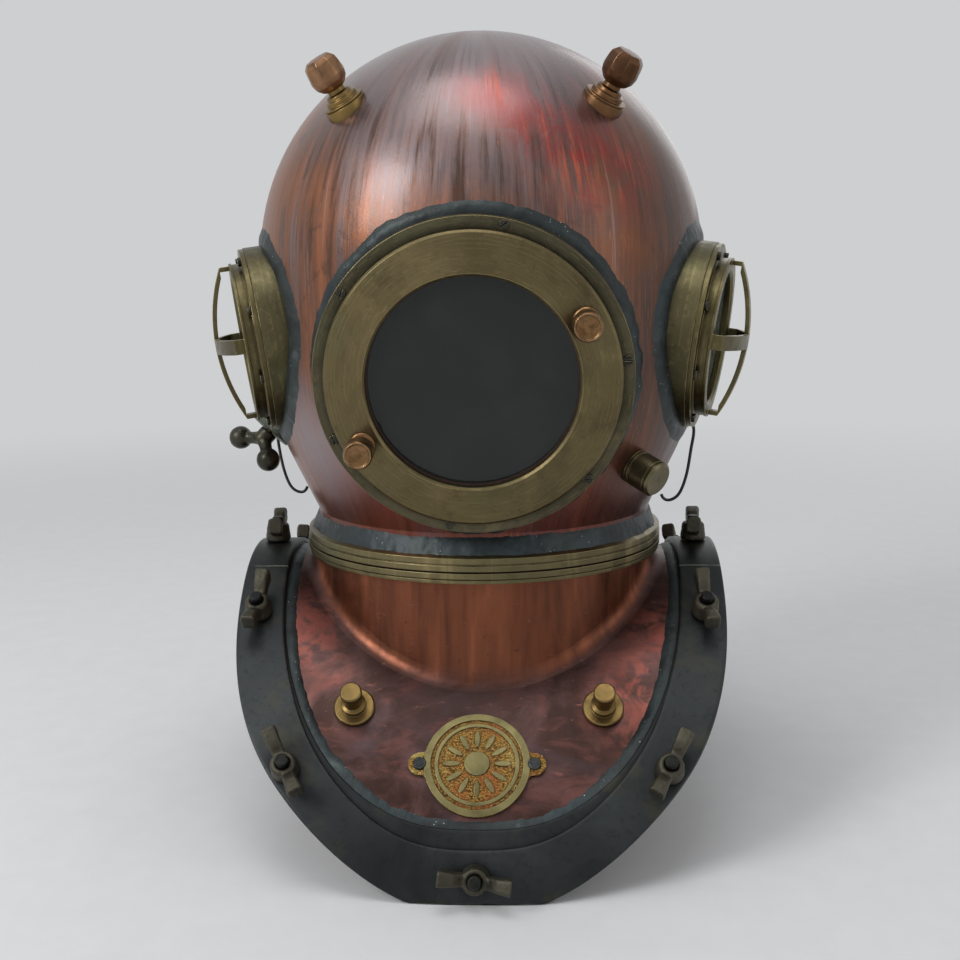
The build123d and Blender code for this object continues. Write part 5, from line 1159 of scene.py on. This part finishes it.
class HELMET_OT_side_ports(bpy.types.Operator):
    """Side frames, covers with crossed guards, glasses and washers"""
    bl_idname = "helmet.side_ports"
    bl_label = "Side ports"

    def execute(self, context):
        colours = context.scene.helmet_colours
        glass = thick_glass(colours)
        bedding = soft_washer("washer_bedding", paint(48, 34, 28))
        for side, place in SIDES.items():
            dress(old_brass(side + "_frame_brass", colours, paint(88, 82, 58), 0.0008, 0.34, place, 0.7),
                  side + "_frame")
            brass = old_brass(side + "_guard_brass", colours, paint(94, 86, 58), 0.0008, 0.28, place, 0.60)
            show_mesh(side + "_guard_broad", broad_guard(side + "_guard", seat(*place)), brass,
                      "bonnet", "brass", side + "_guard")
            dress(glass, side + "_glass")
            dress(bedding, side + "_gasket")
        return {"FINISHED"}


class HELMET_OT_port_screws(bpy.types.Operator):
    """Slotted screws of the front and side ports"""
    bl_idname = "helmet.port_screws"
    bl_label = "Port screws"

    def execute(self, context):
        colours = context.scene.helmet_colours
        dress(dark_metal("screw_metal", colours, paint(52, 50, 44), 0.0005, paint(176, 168, 140),
                         0.32, 0.3, 3.0), "port_screws")
        return {"FINISHED"}


class HELMET_OT_bonnet_solder(bpy.types.Operator):
    """Hand-wiped solder round the front port, the side ports and the neck"""
    bl_idname = "helmet.bonnet_solder"
    bl_label = "Bonnet solder"

    def execute(self, context):
        sizes = context.scene.helmet_sizes
        skin = skin_of("bonnet_shell")
        parts = [port_band(skin, seat(*FRONT), FRONT_BAND, sizes, 0.0)]
        parts += [port_band(skin, seat(*place), SIDE_BAND, sizes, 5.0 + seed)
                  for seed, place in enumerate(SIDES.values())]
        parts.append(neck_band(skin, sizes))
        item = piece_of("bonnet_solder_wiped", *merged(parts),
                        solder_finish(context.scene.helmet_colours), 0)
        set_piece(item, "bonnet", "solder", "bonnet_solder")
        return {"FINISHED"}


class HELMET_OT_rim_solder(bpy.types.Operator):
    """Hand-wiped solder inside the corselet's rim"""
    bl_idname = "helmet.rim_solder"
    bl_label = "Rim solder"

    def execute(self, context):
        band = rim_band(skin_of("corselet_shell"), context.scene.helmet_sizes)
        item = piece_of("rim_solder_wiped", *band, solder_finish(context.scene.helmet_colours), 0)
        set_piece(item, "corselet", "solder", "corselet_solder")
        return {"FINISHED"}


class HELMET_OT_wing_nuts(bpy.types.Operator):
    """Twelve cast wing nuts with bent, flared wings"""
    bl_idname = "helmet.wing_nuts"
    bl_label = "Wing nuts"

    def execute(self, context):
        colours = context.scene.helmet_colours
        sizes = context.scene.helmet_sizes
        hub = turned_mesh(eased(((4.1, 0.5), (8.7, 0.5), (8.8, 3.2), (8.2, 8.0), (7.8, 11.2), (6.6, 12.9),
                                 (4.6, 12.9), (4.15, 12.2), (4.1, 0.6)), 0.8), 40)
        rings = len(hub[0]) // 40
        # the two caps give way to the wall of the bore
        hub[1][-2:] = [((rings - 1) * 40 + step, (rings - 1) * 40 + (step + 1) % 40, (step + 1) % 40, step)
                       for step in range(40)]
        parts = [hub]
        for side in (-1, 1):
            stations = []
            for reach, low, high, half in (
                    (5.6, 4.9, 11.9, 3.6), (8.2, 5.2, 13.6, 3.9), (10.8, 5.8, 16.2, 4.05),
                    (13.2, 6.5, 18.2, 4.2), (16.0, 7.3, 19.2, 4.45), (18.8, 8.2, 19.9, 4.75),
                    (20.6, 8.9, 20.35, 4.95), (21.35, 9.6, 20.0, 4.8)):
                half *= sizes.wing_width / WING_WIDTH
                stations.append(((side * reach * MM, 0, (low + high) / 2 * MM), (0, side, 0), (0, 0, 1),
                                 half * MM, (high - low) / 2 * MM))
            parts.append(strap(stations))
        mesh = cast("wing_nut_casting", parts, sizes.casting_grain, 5, 0.00016)
        bronze = dark_metal("wing_nut_bronze", colours, colours.bronze, 0.0011, paint(152, 146, 118),
                            0.42, 0.55, 2.2)
        for number, (point, axis, turn) in enumerate(NUTS, 1):
            own = mesh.copy()
            own.transform(seat(point, axis) @ Matrix.Rotation(math.radians(turn), 4, "Z"))
            show_mesh("wing_nut_%02d_cast" % number, own, bronze, "nut_%02d" % number, "dark_bronze",
                      "wing_nut_%02d" % number)
        return {"FINISHED"}


class HELMET_OT_dome_studs(bpy.types.Operator):
    """Two studs on the dome with flat-sided acorn heads"""
    bl_idname = "helmet.dome_studs"
    bl_label = "Dome studs"

    def execute(self, context):
        colours = context.scene.helmet_colours
        for name, side, tone, metal in (("left", -1, paint(150, 112, 82), paint(128, 104, 62)),
                                        ("right", 1, paint(96, 66, 44), paint(116, 84, 56))):
            x, y = side * STUD_OUT, -STUD_AHEAD
            z = DOME_HEIGHT + math.sqrt(DOME_RADIUS ** 2 - x * x - y * y)
            lean = (side * STUD_LEAN[0], *STUD_LEAN[1:])
            place = seat((x, y, z), lean, (-lean[1], lean[0], 0.0))
            foot = eased(((0.01, -6.0), (13.4, -6.0), (13.4, 1.6), (12.7, 1.9), (12.7, 2.2), (13.4, 2.5),
                          (13.4, 3.4), (10.2, 3.5), (10.1, 6.3), (8.2, 6.6), (8.0, 8.6), (7.0, 9.0),
                          (5.5, 9.4), (5.4, 12.6), (0.01, 12.7)), 0.5)
            foot_item = turned_piece("dome_stud_foot_" + name, place, foot,
                                     old_brass("stud_foot_brass_" + name, colours, metal, 0.0006, 0.28), 96)
            set_piece(foot_item, "bonnet", "brass", "dome_stud_" + name)
            head = eased(((0.01, 11.6), (5.6, 11.6), (7.6, 12.6), (10.3, 15.8), (11.4, 20.0), (11.2, 25.0),
                          (10.5, 28.8), (7.6, 31.7), (0.01, 31.8)), 0.9)
            item = turned_piece("dome_stud_head_" + name, place, head,
                                stud_copper("stud_head_copper_" + name, tone), 128, eight_flats, 18)
            set_piece(item, "bonnet", "brass")
        return {"FINISHED"}


class HELMET_OT_hooks(bpy.types.Operator):
    """Bent wire hooks at the neck sides"""
    bl_idname = "helmet.hooks"
    bl_label = "Wire hooks"

    def execute(self, context):
        colours = context.scene.helmet_colours
        dress(dark_metal("hook_wire", colours, paint(58, 58, 60), 0.0003, paint(150, 150, 150),
                         0.3, 0.3, 4.0), "neck_hooks")
        return {"FINISHED"}


class HELMET_OT_spit_cock(bpy.types.Operator):
    """Spit cock body and its turning cap"""
    bl_idname = "helmet.spit_cock"
    bl_label = "Spit cock"

    def execute(self, context):
        colours = context.scene.helmet_colours
        dress(old_brass("spit_cock_brass", colours, paint(96, 90, 68), 0.0006, 0.28, COCK, 0.7),
              "spitcock_body", "spitcock_cap")
        return {"FINISHED"}


class HELMET_OT_exhaust(bpy.types.Operator):
    """Exhaust housing, valve and the two-ball hand lever"""
    bl_idname = "helmet.exhaust"
    bl_label = "Exhaust valve"

    def execute(self, context):
        colours = context.scene.helmet_colours
        sizes = context.scene.helmet_sizes
        dress(dark_metal("exhaust_gunmetal", colours, paint(84, 90, 78), 0.0008, paint(150, 150, 126),
                         0.36, 0.25, 1.6), "exhaust_housing")
        dress(old_brass("valve_brass", colours, paint(140, 118, 70), 0.0005, 0.35), "exhaust_valve")
        place = seat(*EXHAUST)
        up = place.to_3x3() @ Vector((0, 0, 1))
        line = Vector(HANDLE_LINE)
        line = (line - up * line.dot(up)).normalized()
        foot = place.translation
        hub = turned_mesh(eased(((0.01, 0.6), (6.6, 0.6), (6.6, 9.0), (5.4, 11.2), (3.6, 12.2),
                                 (0.01, 12.6)), 1.2), 36)
        parts = [moved(hub, place)]
        for side in (-1, 1):
            tip = foot + up * 0.0166 + line * (side * 0.0173)
            root = foot + up * 0.0066
            aim = (tip - root).normalized()
            arm_place = seat(root / MM, aim, up)
            arm = turned_mesh(((0.01, -1.0), (5.0, -0.8), (5.3, 3.0), (4.4, 7.5), (4.3, 11.0), (5.4, 15.5),
                               (6.2, 18.0), (0.01, 19.0)), 32)
            parts += [moved(arm, arm_place), ball(tip, 0.0083)]
        mesh = cast("exhaust_lever_casting", parts, sizes.casting_grain, 8, 0.00008)
        bronze = dark_metal("lever_bronze", colours, paint(64, 62, 52), 0.001, paint(150, 144, 116),
                            0.30, 0.22, 2.0)
        show_mesh("exhaust_lever_cast", mesh, bronze, "exhaust_lever", "dark_bronze", "exhaust_handle")
        return {"FINISHED"}


class HELMET_OT_rear_fittings(bpy.types.Operator):
    """Air inlet elbow with its flap and the telephone boss with its gland"""
    bl_idname = "helmet.rear_fittings"
    bl_label = "Rear fittings"

    def execute(self, context):
        colours = context.scene.helmet_colours
        dress(old_brass("elbow_brass", colours, paint(112, 100, 70), 0.0009, 0.32, None, 0.7, 0.2),
              "inlet_elbow", "phone_boss")
        dress(old_brass("gland_brass", colours, paint(126, 110, 72), 0.0008, 0.28), "phone_cap")
        dress(dark_metal("flap_bronze", colours, colours.bronze), "inlet_flap")
        return {"FINISHED"}


class HELMET_OT_weight_studs(bpy.types.Operator):
    """Studs that carry the chest weights"""
    bl_idname = "helmet.weight_studs"
    bl_label = "Weight studs"

    def execute(self, context):
        colours = context.scene.helmet_colours
        dress(old_brass("weight_stud_brass", colours, paint(120, 98, 58), 0.0006, 0.26, None, 0.7),
              "weight_studs")
        return {"FINISHED"}


class HELMET_OT_badge(bpy.types.Operator):
    """Badge place with its plain rayed pattern and two screws"""
    bl_idname = "helmet.badge"
    bl_label = "Badge place"

    def execute(self, context):
        colours = context.scene.helmet_colours
        dress(badge_finish(colours), "badge_plate")
        dress(dark_metal("badge_screw_metal", colours, paint(50, 52, 52), 0.0004, paint(170, 170, 176),
                         0.3, 0.3, 3.0), "badge_screws")
        return {"FINISHED"}


class HELMET_OT_stage(bpy.types.Operator):
    """Pale floor, soft lamps, world and camera"""
    bl_idname = "helmet.stage"
    bl_label = "Stage"

    def execute(self, context):
        studio = context.scene.helmet_studio
        scene = context.scene
        backdrop = tuple(studio.backdrop)
        points = []
        for ring in range(FLOOR_RINGS):
            reach = 0.02 + 9.0 * (ring / (FLOOR_RINGS - 1)) ** 2
            points += [(reach * math.cos(turn), reach * math.sin(turn), -FLOOR_DROP)
                       for turn in (2 * math.pi * step / FLOOR_STEPS for step in range(FLOOR_STEPS))]
        faces = [face[::-1] for face in ring_faces(FLOOR_RINGS, FLOOR_STEPS)]
        faces.append(tuple(range(FLOOR_STEPS)))
        f = Finish("pale_floor")
        away = f.vector("LENGTH", f.vector("MULTIPLY", f.spot, (1.0, 1.0, 0.0)))
        glow = f.add("ShaderNodeEmission")
        f.feed(glow.inputs[0], backdrop)
        mixer = f.add("ShaderNodeMixShader")
        f.feed(mixer.inputs[0], f.rise(away, 0.6, 2.4))
        f.feed(mixer.inputs[1], f.shader.outputs[0])
        f.feed(mixer.inputs[2], glow.outputs[0])
        f.feed(f.output.inputs[0], mixer.outputs[0])
        f.body = f.ramp(f.noise(40, 4, 0.6), (0.2, backdrop, 1.20), (0.8, backdrop, 1.27))
        floor = piece_of("studio_floor", points, faces, f.done(0.7, 0.0), 0)
        light_world(scene, backdrop, studio.sky_level)
        for name, spot, power, wide, high in LAMPS:
            data = bpy.data.lights.new(name, "AREA")
            data.shape = "RECTANGLE"
            data.size, data.size_y, data.energy = wide, high, getattr(studio, power)
            lamp = bpy.data.objects.new(name, data)
            scene.collection.objects.link(lamp)
            lamp.location = spot
            lamp.rotation_mode = "QUATERNION"
            lamp.rotation_quaternion = (Vector(LAMP_AIM) - Vector(spot)).to_track_quat("-Z", "Y")
        data = bpy.data.cameras.new("studio_camera")
        data.sensor_width = 36.0
        data.lens = studio.lens
        data.clip_start, data.clip_end = 0.05, 60
        camera = bpy.data.objects.new("studio_camera", data)
        scene.collection.objects.link(camera)
        right = Vector(CAMERA_RIGHT)
        back = right.cross(Vector(CAMERA_UP)).normalized()
        up = back.cross(right).normalized()
        grid = Matrix((right.normalized(), up, back)).transposed().to_4x4()
        grid.translation = Vector(CAMERA_SPOT)
        camera.matrix_world = grid
        scene.camera = camera
        scene.view_settings.view_transform = "Standard"
        return {"FINISHED"}


class HELMET_PT_panel(bpy.types.Panel):
    """Lists the helmet's pieces and settings"""
    bl_idname = "HELMET_PT_panel"
    bl_label = "Diving helmet"
    bl_space_type = "VIEW_3D"
    bl_region_type = "UI"
    bl_category = "Helmet"

    def draw(self, context):
        layout = self.layout
        for operator in OPERATORS:
            layout.operator(operator.bl_idname)
        for name, _ in GROUPS:
            group, box = getattr(context.scene, name), layout.box()
            for setting in group.__annotations__:
                box.prop(group, setting)


OPERATORS = (HELMET_OT_stage, HELMET_OT_bonnet, HELMET_OT_corselet, HELMET_OT_rim, HELMET_OT_neck_joint,
             HELMET_OT_front_port, HELMET_OT_side_ports, HELMET_OT_port_screws, HELMET_OT_bonnet_solder,
             HELMET_OT_rim_solder, HELMET_OT_wing_nuts, HELMET_OT_dome_studs, HELMET_OT_hooks,
             HELMET_OT_spit_cock, HELMET_OT_exhaust, HELMET_OT_rear_fittings, HELMET_OT_weight_studs,
             HELMET_OT_badge)
GROUPS = (("helmet_colours", HELMET_PG_colours), ("helmet_sizes", HELMET_PG_sizes),
          ("helmet_studio", HELMET_PG_studio))


def register():
    for name, group in GROUPS:
        bpy.utils.register_class(group)
        setattr(bpy.types.Scene, name, PointerProperty(type=group))
    for operator in OPERATORS:
        bpy.utils.register_class(operator)
    bpy.utils.register_class(HELMET_PT_panel)


def unregister():
    bpy.utils.unregister_class(HELMET_PT_panel)
    for operator in reversed(OPERATORS):
        bpy.utils.unregister_class(operator)
    for name, group in reversed(GROUPS):
        delattr(bpy.types.Scene, name)
        bpy.utils.unregister_class(group)


def main():
    register()
    for operator in OPERATORS:
        section, name = operator.bl_idname.split(".")
        getattr(getattr(bpy.ops, section), name)()


if __name__ == "__main__":
    main()
